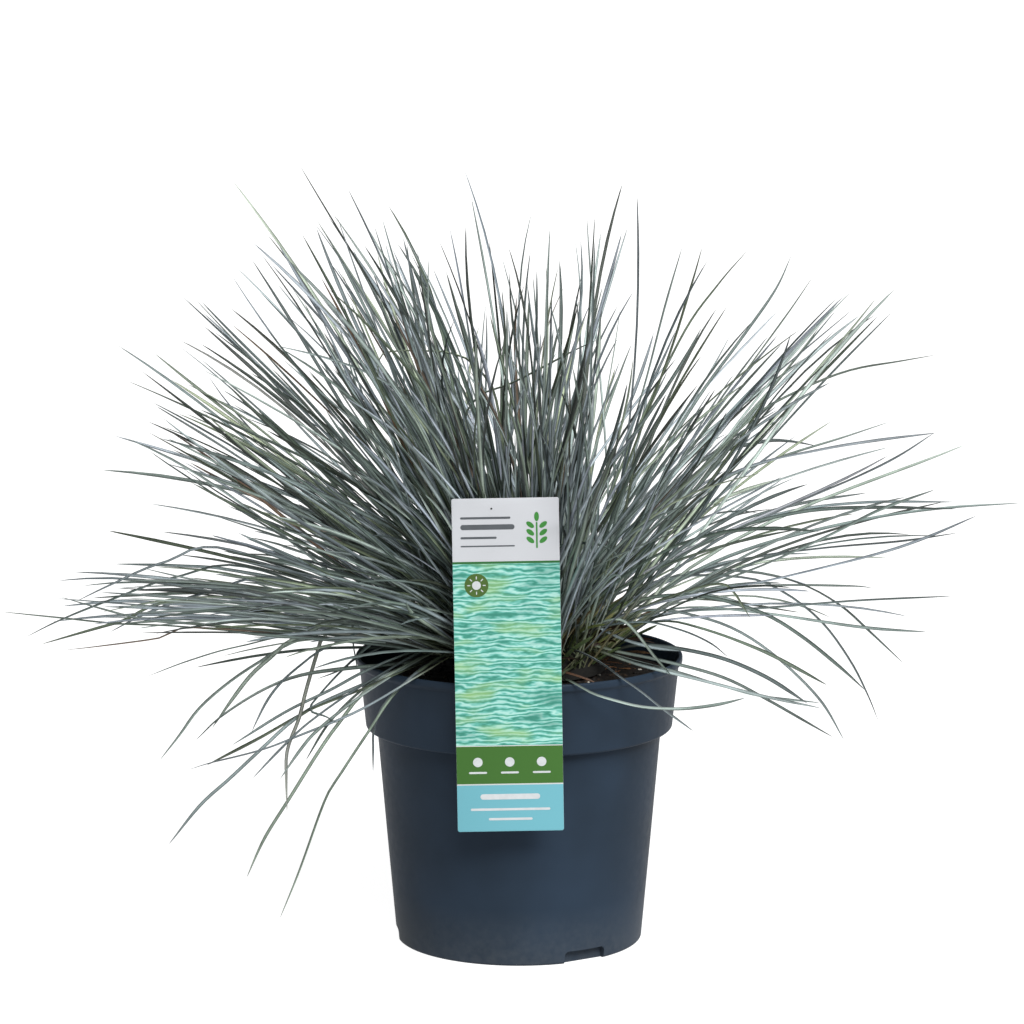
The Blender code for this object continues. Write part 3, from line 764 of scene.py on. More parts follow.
def joined_leaves(name, leaves, prototype, rings):
    """One mesh of all the leaves: copies of the prototype, each bent along its path."""
    shape = bmesh.new()
    for _ in leaves:
        shape.from_mesh(prototype)
    mesh = bpy.data.meshes.new(name)
    shape.to_mesh(mesh)
    shape.free()
    count = len(mesh.vertices)
    flat = np.empty(count * 3)
    mesh.vertices.foreach_get("co", flat)
    unit = flat.reshape(len(leaves), -1, 3)
    ring = np.rint(unit[0, :, 2] * rings).astype(int)
    paths, sides, ups = leaf_frames(leaves, rings)
    widths = np.array([leaf["width"] for leaf in leaves])[:, None] * width_profile(rings)
    widths = widths[:, ring, None]
    bent = paths[:, ring] + widths * (unit[..., :1] * sides[:, ring] + unit[..., 1:2] * ups[:, ring])
    mesh.vertices.foreach_set("co", bent.ravel())
    tones = mesh.attributes.new(LEAF_TONES, "FLOAT_COLOR", "POINT")
    values = np.array([(leaf["tone"], leaf["dry"], leaf["root"], leaf["cast"]) for leaf in leaves])
    tones.data.foreach_set("color", np.repeat(values, unit.shape[1], axis=0).ravel())
    mesh.attributes.remove(mesh.attributes["corner"])
    mesh.update()
    return mesh


def make_leaves(chance, material):
    prototype = leaf_prototype(LEAF_RINGS)
    tufts = [tuft_leaves(number, chance) for number in range(TUFT_COUNT)]
    for leaf in sheaf_leaves(chance) + leading_leaves(chance):
        tufts[nearest_tuft(leaf["path"][0])].append(leaf)
    for number, leaves in enumerate(tufts, start=1):
        mesh = joined_leaves(f"leaves_{number:02d}", leaves, prototype, LEAF_RINGS)
        placed(f"leaves_{number:02d}", mesh, [material], [f"tuft_{number:02d}"], 60.0)
    bpy.data.meshes.remove(prototype)
    strays = [routed_leaf(chance, depth, pixels) for depth, *pixels in ROUTES]
    prototype = leaf_prototype(STRAY_RINGS)
    mesh = joined_leaves("stray_leaves", strays, prototype, STRAY_RINGS)
    placed("stray_leaves", mesh, [material], (), 60.0)
    bpy.data.meshes.remove(prototype)


def nearest_tuft(point):
    """Number of the tuft whose foot is nearest to a point."""
    feet = [crown_place(*tuft_home(number))[0] for number in range(TUFT_COUNT)]
    return min(range(TUFT_COUNT), key=lambda number: (feet[number] - Vector(point)).length)


def arched_path(root, tip, bow, late_bow, sway, late_sway):
    """A curve from root to tip that stands off the straight line by shares of it.

    A bow lifts the curve's first or second half, and a sway shifts it to the side.
    """
    chord = tip - root
    up = Vector((0.0, 0.0, 1.0))
    up = (up - chord * (up.dot(chord) / chord.length_squared)).normalized()
    side = chord.normalized().cross(up)
    reach = 1.5 * chord.length
    first = root + chord / 3.0 + (up * bow + side * sway) * reach
    second = root + chord / 1.5 + (up * late_bow + side * late_sway) * reach
    share = np.linspace(0.0, 1.0, LEAF_STEPS + 1)[:, None]
    rest = 1.0 - share
    path = rest**3 * np.array(root) + share**3 * np.array(tip)
    return path + 3.0 * rest**2 * share * np.array(first) + 3.0 * rest * share**2 * np.array(second)


def crown_root(chance, tip, bow, scatter):
    """The point of the crown where a leaf with this tip starts, and its bearing."""
    offset = tip - crown_middle()
    bearing = math.degrees(math.atan2(offset.x, -offset.y)) % 360.0
    lean = math.degrees(offset.angle(Vector((0.0, 0.0, 1.0))))
    spread = min(1.0, max(0.1, (lean - 90.0 * bow) / 78.0))
    spot = direction(bearing) * spread * CROWN_RADIUS
    spot += Vector((chance.gauss(0.0, scatter), chance.gauss(0.0, scatter), 0.0))
    spread = min(0.98, spot.length / CROWN_RADIUS)
    root, _ = crown_place(spread, math.degrees(math.atan2(spot.x, -spot.y)))
    return root, bearing


def aimed_leaf(chance, pixel, length, side, bow):
    """A leaf whose tip shows at a pixel; its length says how far it leans to the back or front."""
    level = (seen_at(*pixel, 0.0) - crown_middle()).length
    depth = side * math.sqrt(max(0.0, length**2 - level**2)) * chance.uniform(0.55, 0.95)
    tip = seen_at(*pixel, depth)
    root, bearing = crown_root(chance, tip, bow, ROOT_SCATTER)
    bows = [bow + chance.gauss(0.0, BOW_ERROR) for _ in range(2)]
    sways = [chance.gauss(0.0, SWAY) for _ in range(2)]
    path = arched_path(root, tip, *bows, *sways)
    return grown_leaf(chance, path, bearing, length)


def clear_leaf(chance, pixel, length, bow):
    """An aimed leaf that keeps clear of the pot, soil and label and inside the frame's box."""
    side = chance.choice((-1.0, 1.0))
    for _ in range(TRIES):
        leaf = aimed_leaf(chance, pixel, length, side, bow)
        if not touches_holder(leaf["path"]) and not leaves_box(leaf["path"]):
            return leaf
        side = -side
    return None


def sheaf_leaves(chance):
    """The leaves that make the clump's outline, drawn sheaf by sheaf."""
    middle = pixel_of(crown_middle())
    scale = (pixel_of(crown_middle() + Vector((1.0, 0.0, 0.0))) - middle).length
    leaves = []
    for angle, count, reach, spread, bow, _ in SHEAVES:
        for _ in range(count):
            turn = math.radians(angle + chance.uniform(-0.5, 0.5) * SHEAF_WIDTH)
            far = min(FARTHEST_TIP, max(NEAREST_TIP, chance.gauss(reach, spread))) * MM
            pixel = middle + Vector((math.sin(turn), -math.cos(turn))) * far * scale
            length = max(1.03 * far, chance.uniform(180.0, 258.0) * MM)
            leaf = clear_leaf(chance, pixel, length, bow)
            if leaf:
                leaves.append(leaf)
    return leaves


def smooth_curve(points, steps):
    """A smooth curve through points, as steps + 1 evenly spaced points."""
    points = np.array(points, dtype=float)
    before = 2.0 * points[0] - points[1]
    after = 2.0 * points[-1] - points[-2]
    ring = np.vstack((before, points, after))
    pieces = []
    share = np.linspace(0.0, 1.0, 17)[:-1, None]
    for a, b, c, d in zip(ring, ring[1:], ring[2:], ring[3:]):
        curve = 2.0 * b + (c - a) * share + (2.0 * a - 5.0 * b + 4.0 * c - d) * share**2
        pieces.append(0.5 * (curve + (3.0 * b - a - 3.0 * c + d) * share**3))
    dense = np.vstack((*pieces, points[-1:]))
    run = np.concatenate(([0.0], np.cumsum(np.linalg.norm(np.diff(dense, axis=0), axis=1))))
    even = np.linspace(0.0, run[-1], steps + 1)
    return np.stack([np.interp(even, run, dense[:, axis]) for axis in range(dense.shape[1])], axis=1)


def blocked(point):
    """True inside the pot, its wall or the soil."""
    reach = math.hypot(point.x, point.y)
    if reach > RIM_RADIUS + LEAF_ROOM or point.z > POT_HEIGHT + LEAF_ROOM:
        return False
    over_soil = point.z > SOIL_MIDDLE_HEIGHT + LEAF_ROOM and reach < RIM_RADIUS - 5.0 * MM
    return not over_soil


def softened(values, passes):
    """Values with each one drawn towards its neighbours, ends kept."""
    values = np.array(values)
    for _ in range(passes):
        values[1:-1] = 0.25 * values[:-2] + 0.5 * values[1:-1] + 0.25 * values[2:]
    return values


def rim_crossing(flat):
    """The step at which a route passes over the rim to the front of the pot, and its depth."""
    reach = RIM_RADIUS + RIM_ROOM
    for step, pixel in enumerate(flat):
        across = seen_at(*pixel, -0.7 * RIM_RADIUS).x
        if abs(across) < reach:
            front = -math.sqrt(reach**2 - across**2)
            if seen_at(*pixel, front).z < POT_HEIGHT + RIM_ROOM:
                return step, front
    return None


def routed_path(tip_depth, pixels):
    """A path from the crown through pixels of the photograph, over the pot's rim and clear of it."""
    aim = seen_at(*pixels[-1], 0.0) - crown_middle()
    bearing = math.degrees(math.atan2(aim.x, -0.3 * tip_depth * MM - 0.2 * abs(aim.x))) % 360.0
    lean = math.degrees(aim.angle(Vector((0.0, 0.0, 1.0))))
    root, _ = crown_place(min(0.95, 0.15 + lean / 95.0), bearing)
    flat = smooth_curve([pixel_of(root), *[Vector(pixel) for pixel in reversed(pixels)]], LEAF_STEPS)
    stops = [(0, root.y), (LEAF_STEPS, tip_depth * MM)]
    crossing = rim_crossing(flat)
    if crossing:
        stops.insert(1, crossing)
        stops[2] = (LEAF_STEPS, min(tip_depth * MM, crossing[1]))
    depths = np.interp(np.arange(LEAF_STEPS + 1), *zip(*stops))
    for passes in (6, 2, 0):
        for step in range(1, LEAF_STEPS + 1):
            while blocked(seen_at(*flat[step], depths[step])) and depths[step] > -0.12:
                depths[step] -= 1.0 * MM
        depths = softened(depths, passes)
    path = [root] + [seen_at(*pixel, depth) for pixel, depth in zip(flat[1:], depths[1:])]
    return np.array(path), bearing


def routed_leaf(chance, tip_depth, pixels):
    path, bearing = routed_path(tip_depth, pixels)
    leaf = grown_leaf(chance, path, bearing, UPRIGHT_LENGTH * MM)
    return {**leaf, "tone": chance.uniform(*STRAY_TONES)}


def leading_leaves(chance):
    leaves = []
    for pixel_x, pixel_y, bow in LEADING_TIPS:
        length = LEADING_LENGTH * MM * chance.uniform(0.93, 1.03)
        leaf = clear_leaf(chance, (pixel_x, pixel_y), length, bow)
        if leaf:
            leaves.append(leaf)
    return leaves


def applied(shape, cutters, operation):
    """Cuts or joins bmesh shapes with an exact boolean, and returns the result as a mesh."""
    mesh = bpy.data.meshes.new("work")
    shape.to_mesh(mesh)
    shape.free()
    work = bpy.data.objects.new("work", mesh)
    bpy.context.scene.collection.objects.link(work)
    tools = []
    for cutter in cutters:
        tool_mesh = bpy.data.meshes.new("tool")
        cutter.to_mesh(tool_mesh)
        cutter.free()
        tool = bpy.data.objects.new("tool", tool_mesh)
        bpy.context.scene.collection.objects.link(tool)
        modifier = work.modifiers.new("cut", "BOOLEAN")
        modifier.operation = operation
        modifier.object = tool
        modifier.solver = "EXACT"
        tools.append(tool)
    graph = bpy.context.evaluated_depsgraph_get()
    result = bpy.data.meshes.new_from_object(work.evaluated_get(graph))
    for item in (*tools, work):
        data = item.data
        bpy.data.objects.remove(item)
        bpy.data.meshes.remove(data)
    result.materials.clear()
    return result


def turned(profile, steps):
    """Spins (radius, height) points about Z into a closed shape with its faces outward."""
    shape = bmesh.new()
    corners = [shape.verts.new((radius, 0.0, height)) for radius, height in profile]
    edges = [shape.edges.new(pair) for pair in zip(corners, corners[1:])]
    bmesh.ops.spin(
        shape,
        geom=corners + edges,
        cent=(0.0, 0.0, 0.0),
        axis=(0.0, 0.0, 1.0),
        angle=math.tau,
        steps=steps,
        use_merge=True,
    )
    bmesh.ops.remove_doubles(shape, verts=shape.verts, dist=0.001 * MM)
    bmesh.ops.recalc_face_normals(shape, faces=shape.faces)
    return shape


def arc(centre_radius, centre_height, size, start, end, steps):
    """Points of a rounded edge in a (radius, height) profile; angles are in degrees."""
    points = []
    for step in range(steps + 1):
        angle = math.radians(start + (end - start) * step / steps)
        points.append((centre_radius + size * math.cos(angle), centre_height + size * math.sin(angle)))
    return points


def body_radius(height):
    """Outer radius of the pot's tapered body at a height."""
    return BASE_RADIUS + (BODY_TOP_RADIUS - BASE_RADIUS) * height / COLLAR_BOTTOM


def pot_profile():
    bead_bottom = POT_HEIGHT - BEAD_HEIGHT
    neck_radius = RIM_RADIUS - BEAD_PROUD
    profile = [(0.0, 0.0)]
    profile += arc(BASE_RADIUS - EDGE_ROUND, EDGE_ROUND, EDGE_ROUND, -90.0, 0.0, 6)
    profile += [(body_radius(0.5 * COLLAR_BOTTOM), 0.5 * COLLAR_BOTTOM)]
    profile += [(BODY_TOP_RADIUS, COLLAR_BOTTOM - 0.4 * MM), (BODY_TOP_RADIUS + 0.5 * MM, COLLAR_BOTTOM)]
    profile += arc(COLLAR_BOTTOM_RADIUS - EDGE_ROUND, COLLAR_BOTTOM + EDGE_ROUND, EDGE_ROUND, -90.0, 0.0, 6)
    profile += [(neck_radius, bead_bottom)]
    for step in range(1, 6):
        share = step / 5
        swell = share * share * (3.0 - 2.0 * share)
        profile.append((neck_radius + BEAD_PROUD * swell, bead_bottom + share * 2.4 * MM))
    profile += arc(RIM_RADIUS - LIP_ROUND, POT_HEIGHT - LIP_ROUND, LIP_ROUND, 0.0, 180.0, 8)
    profile += [
        (neck_radius - WALL, bead_bottom),
        (COLLAR_BOTTOM_RADIUS - WALL, COLLAR_BOTTOM + WALL),
        (BODY_TOP_RADIUS - WALL, COLLAR_BOTTOM - WALL),
        (body_radius(FOOT_HEIGHT) - WALL, FOOT_HEIGHT + FOOT_SLOPE),
        (FOOT_RADIUS, FOOT_HEIGHT),
        (FOOT_RADIUS, FLOOR_THICK),
        (0.0, FLOOR_THICK),
    ]
    return profile


def set_at_bearing(shape, bearing, radius, height):
    """Turns a shape made at the front towards a bearing and moves it out to a radius."""
    turn = Matrix.Rotation(math.radians(bearing), 4, "Z")
    out = Matrix.Translation(direction(bearing) * radius + Vector((0.0, 0.0, height)))
    bmesh.ops.transform(shape, matrix=out @ turn, verts=shape.verts)
    return shape


def notch_shape(bearing):
    depth = BASE_RADIUS - NOTCH_DEPTH_RADIUS + 6.0 * MM
    shape = bmesh.new()
    bmesh.ops.create_cube(shape, size=1.0)
    bmesh.ops.scale(shape, vec=(NOTCH_WIDTH, depth, 2.0 * NOTCH_HEIGHT), verts=shape.verts)
    along = [edge for edge in shape.edges if abs(edge.verts[0].co.y - edge.verts[1].co.y) > 0.5 * depth]
    bmesh.ops.bevel(
        shape, geom=along, affect="EDGES", offset=NOTCH_ROUND, segments=6, profile=0.5, material=-1
    )
    return set_at_bearing(shape, bearing, NOTCH_DEPTH_RADIUS + 0.5 * depth, 0.0)


def drain_shape(bearing):
    shape = bmesh.new()
    bmesh.ops.create_cone(
        shape,
        cap_ends=True,
        segments=32,
        radius1=DRAIN_RADIUS,
        radius2=DRAIN_RADIUS,
        depth=4.0 * FLOOR_THICK,
    )
    return set_at_bearing(shape, bearing, DRAIN_CIRCLE, 0.5 * FLOOR_THICK)


def pot_material():
    """Moulded polypropylene, tinted slate: smooth satin skin with faint flow marks and dust."""
    material, tree, shader = new_material("moulded_polypropylene")
    place = add_node(tree, "ShaderNodeTexCoord")
    cloud = add_node(
        tree, "ShaderNodeTexNoise", {"Vector": place.outputs["Object"], "Scale": 1.0 / 0.045, "Detail": 2.0}
    )
    tint = add_node(
        tree,
        "ShaderNodeValToRGB",
        {"Fac": cloud.outputs["Fac"]},
        stops=((0.3, "#242f3b"), (0.7, "#2a3746")),
    )
    parts = add_node(tree, "ShaderNodeSeparateXYZ", {"Vector": place.outputs["Object"]})
    dust_height = add_node(
        tree,
        "ShaderNodeMapRange",
        {"Value": parts.outputs["Z"], "From Min": 0.0, "From Max": 0.030, "To Min": 0.16, "To Max": 0.0},
    )
    grit = add_node(
        tree, "ShaderNodeTexNoise", {"Vector": place.outputs["Object"], "Scale": 1.0 / 0.004, "Detail": 4.0}
    )
    dust = add_node(
        tree,
        "ShaderNodeMath",
        {0: dust_height.outputs["Result"], 1: grit.outputs["Fac"]},
        operation="MULTIPLY",
    )
    dusty = add_node(
        tree,
        "ShaderNodeMix",
        {0: dust.outputs["Value"], 6: tint.outputs["Color"], 7: linear("#8a8b88")},
        data_type="RGBA",
    )
    tree.links.new(dusty.outputs[2], shader.inputs["Base Color"])
    rough = add_node(
        tree,
        "ShaderNodeMapRange",
        {"Value": grit.outputs["Fac"], "From Min": 0.3, "From Max": 0.7, "To Min": 0.40, "To Max": 0.48},
    )
    tree.links.new(rough.outputs["Result"], shader.inputs["Roughness"])
    grain = add_node(
        tree, "ShaderNodeTexNoise", {"Vector": place.outputs["Object"], "Scale": 1.0 / 0.0009, "Detail": 2.0}
    )
    bump = add_node(
        tree, "ShaderNodeBump", {"Height": grain.outputs["Fac"], "Strength": 0.12, "Distance": 0.08 * MM}
    )
    tree.links.new(bump.outputs["Normal"], shader.inputs["Normal"])
    shader.inputs["IOR"].default_value = 1.49
    shader.inputs["Specular IOR Level"].default_value = 0.08
    return material


def make_pot():
    cutters = [notch_shape(bearing) for bearing in NOTCH_BEARINGS]
    cutters += [drain_shape(DRAIN_PHASE + number * 360.0 / DRAIN_COUNT) for number in range(DRAIN_COUNT)]
    mesh = applied(turned(pot_profile(), POT_STEPS), cutters, "DIFFERENCE")
    placed("pot_shell", mesh, [pot_material()], ["pot"], 35.0)


def soil_wall_radius():
    """Radius of the soil where it meets the pot's wall."""
    bead_bottom = POT_HEIGHT - BEAD_HEIGHT
    rise = (SOIL_WALL_HEIGHT - COLLAR_BOTTOM) / (bead_bottom - COLLAR_BOTTOM)
    neck_radius = RIM_RADIUS - BEAD_PROUD
    return COLLAR_BOTTOM_RADIUS + rise * (neck_radius - COLLAR_BOTTOM_RADIUS) - WALL - SOIL_CLEARANCE


def soil_height(x, y):
    """Height of the soil's surface: a low mound with clods and hollows."""
    share = min(1.0, math.hypot(x, y) / soil_wall_radius())
    level = SOIL_MIDDLE_HEIGHT + (SOIL_WALL_HEIGHT - SOIL_MIDDLE_HEIGHT) * share**2
    spot = Vector((x, y, 0.0)) / SOIL_CLOD
    lump = noise.turbulence(spot, 4, False) - 0.5
    crumbs = noise.noise(spot * 4.7) * 0.35
    free = min(1.0, max(0.0, (math.hypot(x - CROWN_X, y) - CROWN_RADIUS) / (8.0 * MM)))
    return level + free * SOIL_RELIEF * (lump + crumbs) - (1.0 - free) * 0.2 * MM


def soil_profile():
    gap = SOIL_CLEARANCE
    rest = TOUCH_GAP
    wall_radius = soil_wall_radius()
    profile = [
        (0.0, FLOOR_THICK + rest),
        (FOOT_RADIUS - gap, FLOOR_THICK + rest),
        (FOOT_RADIUS - gap, FOOT_HEIGHT + rest),
        (body_radius(FOOT_HEIGHT) - WALL - gap, FOOT_HEIGHT + FOOT_SLOPE + rest),
        (BODY_TOP_RADIUS - WALL - gap, COLLAR_BOTTOM - WALL + rest),
        (COLLAR_BOTTOM_RADIUS - WALL - gap, COLLAR_BOTTOM + WALL + rest),
    ]
    for ring in range(SOIL_RINGS + 1):
        profile.append((wall_radius * (1.0 - ring / SOIL_RINGS), SOIL_WALL_HEIGHT))
    return profile


def soil_material():
    """Peat and bark potting mix, watered: almost black, rough, with brown fibres in it."""
    material, tree, shader = new_material("damp_peat_mix")
    place = add_node(tree, "ShaderNodeTexCoord")
    grains = add_node(
        tree, "ShaderNodeTexVoronoi", {"Vector": place.outputs["Object"], "Scale": 1.0 / 0.0022}
    )
    earth = add_node(
        tree,
        "ShaderNodeValToRGB",
        {"Fac": grains.outputs["Distance"]},
        stops=((0.0, "#2b221b"), (0.45, "#1b1613"), (0.8, "#0f0c0b")),
    )
    tree.links.new(earth.outputs["Color"], shader.inputs["Base Color"])
    fine = add_node(
        tree, "ShaderNodeTexNoise", {"Vector": place.outputs["Object"], "Scale": 1.0 / 0.0012, "Detail": 5.0}
    )
    bump = add_node(
        tree, "ShaderNodeBump", {"Height": fine.outputs["Fac"], "Strength": 0.8, "Distance": 0.6 * MM}
    )
    tree.links.new(bump.outputs["Normal"], shader.inputs["Normal"])
    shader.inputs["Roughness"].default_value = 0.86
    shader.inputs["Specular IOR Level"].default_value = 0.3
    return material


def tinted_material(name, tones, roughness, grain):
    """Plant or mineral crumb whose colour comes from the piece's own tone: 0 dark, 1 pale."""
    material, tree, shader = new_material(name)
    tone = add_node(tree, "ShaderNodeAttribute", attribute_name=LEAF_TONES)
    split = add_node(tree, "ShaderNodeSeparateColor", {"Color": tone.outputs["Color"]})
    place = add_node(tree, "ShaderNodeTexCoord")
    fibres = add_node(
        tree, "ShaderNodeTexNoise", {"Vector": place.outputs["Object"], "Scale": 1.0 / grain, "Detail": 3.0}
    )
    shift = add_node(
        tree,
        "ShaderNodeMapRange",
        {"Value": fibres.outputs["Fac"], "From Min": 0.3, "From Max": 0.7, "To Min": -0.12, "To Max": 0.12},
    )
    total = add_node(
        tree, "ShaderNodeMath", {0: split.outputs["Red"], 1: shift.outputs["Result"]}, operation="ADD"
    )
    colour = add_node(tree, "ShaderNodeValToRGB", {"Fac": total.outputs["Value"]}, stops=tones)
    tree.links.new(colour.outputs["Color"], shader.inputs["Base Color"])
    bump = add_node(
        tree, "ShaderNodeBump", {"Height": fibres.outputs["Fac"], "Strength": 0.5, "Distance": 0.3 * MM}
    )
    tree.links.new(bump.outputs["Normal"], shader.inputs["Normal"])
    shader.inputs["Roughness"].default_value = roughness
    return material


def scattered(name, material, places, chance):
    """Many small rough lumps in one mesh. A place is a point, a size, a flatness and a tone."""
    shape = bmesh.new()
    tones = []
    for point, size, flatness, tone in places:
        turn = Matrix.Rotation(chance.uniform(0.0, math.tau), 4, "Z")
        tilt = Matrix.Rotation(chance.uniform(-0.5, 0.5), 4, "X")
        stretch = Matrix.Diagonal((size * chance.uniform(0.8, 1.5), size, size * flatness, 1.0))
        made = bmesh.ops.create_icosphere(
            shape, subdivisions=1, radius=0.5, matrix=Matrix.Translation(point) @ turn @ tilt @ stretch
        )
        for vert in made["verts"]:
            vert.co += Vector([chance.uniform(-0.13, 0.13) * size for _ in range(3)])
            tones.append((tone, 0.0, 0.0, 1.0))
    mesh = bpy.data.meshes.new(name)
    shape.to_mesh(mesh)
    shape.free()
    attribute = mesh.attributes.new(LEAF_TONES, "FLOAT_COLOR", "POINT")
    attribute.data.foreach_set("color", np.array(tones).ravel())
    return placed(name, mesh, [material], (), 30.0)


def soil_spot(chance):
    """A random point on the soil outside the crown."""
    while True:
        spot = direction(chance.uniform(0.0, 360.0)) * soil_wall_radius() * math.sqrt(chance.random())
        if math.hypot(spot.x - CROWN_X, spot.y) > 0.8 * CROWN_RADIUS and spot.length < soil_wall_radius() - 2.0 * MM:
            return Vector((spot.x, spot.y, soil_height(spot.x, spot.y)))


def seen_on_soil(pixel_x, pixel_y):
    """The point of the soil's level that the camera sees at a pixel."""
    near = seen_at(pixel_x, pixel_y, 0.0)
    ray = (near - CAMERA_PLACE).normalized()
    level = 0.5 * (SOIL_WALL_HEIGHT + SOIL_MIDDLE_HEIGHT)
    point = CAMERA_PLACE + ray * ((level - CAMERA_PLACE.z) / ray.z)
    return Vector((point.x, point.y, soil_height(point.x, point.y)))


def make_soil(chance):
    shape = turned(soil_profile(), SOIL_STEPS)
    for vert in shape.verts:
        if vert.co.z > SOIL_WALL_HEIGHT - 0.1 * MM:
            vert.co.z = soil_height(vert.co.x, vert.co.y)
    finished("soil_bed", shape, [soil_material()], ["soil"], 60.0)
    crumbs = [(soil_spot(chance), chance.uniform(0.8, 2.6) * MM, 0.7, chance.random()) for _ in range(CRUMB_COUNT)]
    peat = tinted_material(
        "peat_crumbs", ((0.0, "#100d0b"), (0.6, "#221912"), (0.9, "#3a2a1c"), (1.0, "#54402c")), 0.85, 0.0006
    )
    scattered("soil_crumbs", peat, crumbs, chance)
    pale = [(seen_on_soil(*pixel), chance.uniform(1.4, 2.1) * MM, 0.8, 0.9) for pixel in PERLITE_PLACES]
    pale += [(soil_spot(chance), chance.uniform(0.8, 1.8) * MM, 0.8, chance.random()) for _ in range(PERLITE_LOOSE)]
    perlite = tinted_material("expanded_perlite", ((0.0, "#a29c90"), (1.0, "#e4e0d6")), 0.8, 0.0005)
    scattered("soil_perlite", perlite, pale, chance)


def strand(chance, start, bearing, length, sag, curl):
    """A dead strand that leaves a point at a bearing and settles on the soil or hangs free."""
    turn = bearing + np.cumsum(np.full(LEAF_STEPS, curl / LEAF_STEPS))
    share = (np.arange(LEAF_STEPS) + 0.5) / LEAF_STEPS
    lean = np.radians(sag[0] + (sag[1] - sag[0]) * share)
    turn = np.radians(turn)
    steps = np.stack((np.sin(lean) * np.sin(turn), -np.sin(lean) * np.cos(turn), np.cos(lean)), axis=1)
    path = np.array(start) + np.vstack((np.zeros(3), np.cumsum(length / LEAF_STEPS * steps, axis=0)))
    inside = np.hypot(path[:, 0], path[:, 1]) < RIM_RADIUS
    ground = np.array([soil_height(x, y) for x, y in path[:, :2]]) + 0.5 * MM
    path[:, 2] = np.where(inside, np.maximum(path[:, 2], ground), path[:, 2])
    return path


def make_crown(chance):
    profile = [(0.0, CROWN_FOOT), (CROWN_RADIUS, CROWN_FOOT)]
    for ring in range(1, 15):
        turn = math.radians(90.0 * ring / 14)
        profile.append((CROWN_RADIUS * math.cos(turn), CROWN_FOOT + CROWN_HEIGHT * math.sin(turn)))
    profile[-1] = (0.0, CROWN_HIGH.z)
    shape = turned(profile, 72)
    bmesh.ops.translate(shape, vec=(CROWN_X, 0.0, 0.0), verts=shape.verts)
    for vert in shape.verts:
        if vert.co.z > CROWN_FOOT + 0.1 * MM:
            vert.co.z -= 0.8 * MM * abs(noise.noise(vert.co / (3.0 * MM)))
    # The dome of old leaf bases is coloured near black: their own dark brown, darkened further as painted shade deep
    # in the clump.
    thatch = tinted_material(
        "old_leaf_thatch_and_painted_shade", ((0.0, "#0d0c08"), (0.5, "#1b190f"), (1.0, "#3a3320")), 0.85, 0.0014
    )
    finished("crown_thatch", shape, [thatch], ["crown"], 60.0)
    prototype = leaf_prototype(SHEATH_RINGS)
    sheaths = [crown_sheath(chance) for _ in range(SHEATH_COUNT)] + [sprout(chance, pixel) for pixel in SPROUTS]
    mesh = joined_leaves("crown_sheaths", sheaths, prototype, SHEATH_RINGS)
    tissue = tinted_material(
        "leaf_sheath",
        (
            (0.0, "#2e2116"),
            (0.16, "#5c4630"),
            (0.34, "#8f8560"),
            (0.6, "#939d5c"),
            (0.82, "#66784a"),
            (1.0, "#4f6044"),
        ),
        0.5,
        0.0012,
    )
    placed("crown_sheaths", mesh, [tissue], (), 60.0)
    strands = [dead_strand(chance) for _ in range(STRAND_COUNT)] + [straw_bit(chance, pixel) for pixel in STRAWS]
    mesh = joined_leaves("dead_strands", strands, prototype, SHEATH_RINGS)
    straw = tinted_material(
        "dry_straw", ((0.0, "#251a13"), (0.4, "#453021"), (0.8, "#684832"), (1.0, "#b07c50")), 0.6, 0.0012
    )
    placed("dead_strands", mesh, [straw], (), 60.0)
    bpy.data.meshes.remove(prototype)


def bare_leaf(chance, path, bearing, width, turn, tone):
    """A sheath, sprout or dead strand: a leaf with a width, a turn and a tone, but no bloom."""
    return {
        "path": path,
        "bearing": bearing,
        "width": width,
        "roll": chance.uniform(-turn, turn),
        "twist": chance.uniform(-turn, turn),
        "tone": tone,
        "dry": 0.0,
        "root": 0.0,
        "cast": 0.0,
    }


def crown_sheath(chance):
    spread = math.sqrt(chance.uniform(0.15, 1.0))
    bearing = chance.uniform(0.0, 360.0)
    path = field_path(chance, spread, bearing, chance.uniform(18.0, 42.0) * MM)
    return bare_leaf(chance, path, bearing, chance.uniform(1.5, 2.9) * MM, 0.9, chance.random())


def sprout(chance, pixel):
    """A pale young shoot that stands on the soil at a pixel, against the crown."""
    foot = seen_on_soil(*pixel)
    bearing = math.degrees(math.atan2(foot.x - CROWN_X, -foot.y))
    top = foot + direction(bearing) * 3.0 * MM + Vector((0.0, 0.0, chance.uniform(9.0, 17.0) * MM))
    path = arched_path(foot, top, 0.05, 0.02, chance.gauss(0.0, 0.05), 0.0)
    return bare_leaf(chance, path, bearing, chance.uniform(2.2, 3.2) * MM, 0.5, chance.uniform(0.45, 0.62))


def dead_strand(chance):
    spread = math.sqrt(chance.uniform(0.5, 1.0))
    bearing = chance.uniform(0.0, 360.0)
    start, _ = crown_place(spread, bearing)
    length = chance.uniform(12.0, 40.0) * MM
    curl = chance.uniform(-80.0, 80.0)
    sag = (chance.uniform(40.0, 80.0), chance.uniform(88.0, 112.0))
    path = strand(chance, start, bearing, length, sag, curl)
    if (np.hypot(path[:, 0], path[:, 1]) > soil_wall_radius() - 1.0 * MM).any():
        path = strand(chance, start, bearing, 0.4 * length, sag, curl)
    return bare_leaf(chance, path, bearing, chance.uniform(0.6, 1.3) * MM, 1.8, 0.85 * chance.random())


def straw_bit(chance, pixel):
    """A short bit of straw that lies on the soil where a pixel shows it."""
    foot = seen_on_soil(*pixel) + Vector((0.0, 0.0, 0.5 * MM))
    bearing = chance.uniform(20.0, 160.0)
    path = strand(chance, foot, bearing, chance.uniform(4.0, 8.0) * MM, (84.0, 96.0), chance.uniform(-60.0, 60.0))
    return bare_leaf(chance, path, bearing, chance.uniform(0.5, 0.8) * MM, 0.4, chance.uniform(0.85, 1.0))


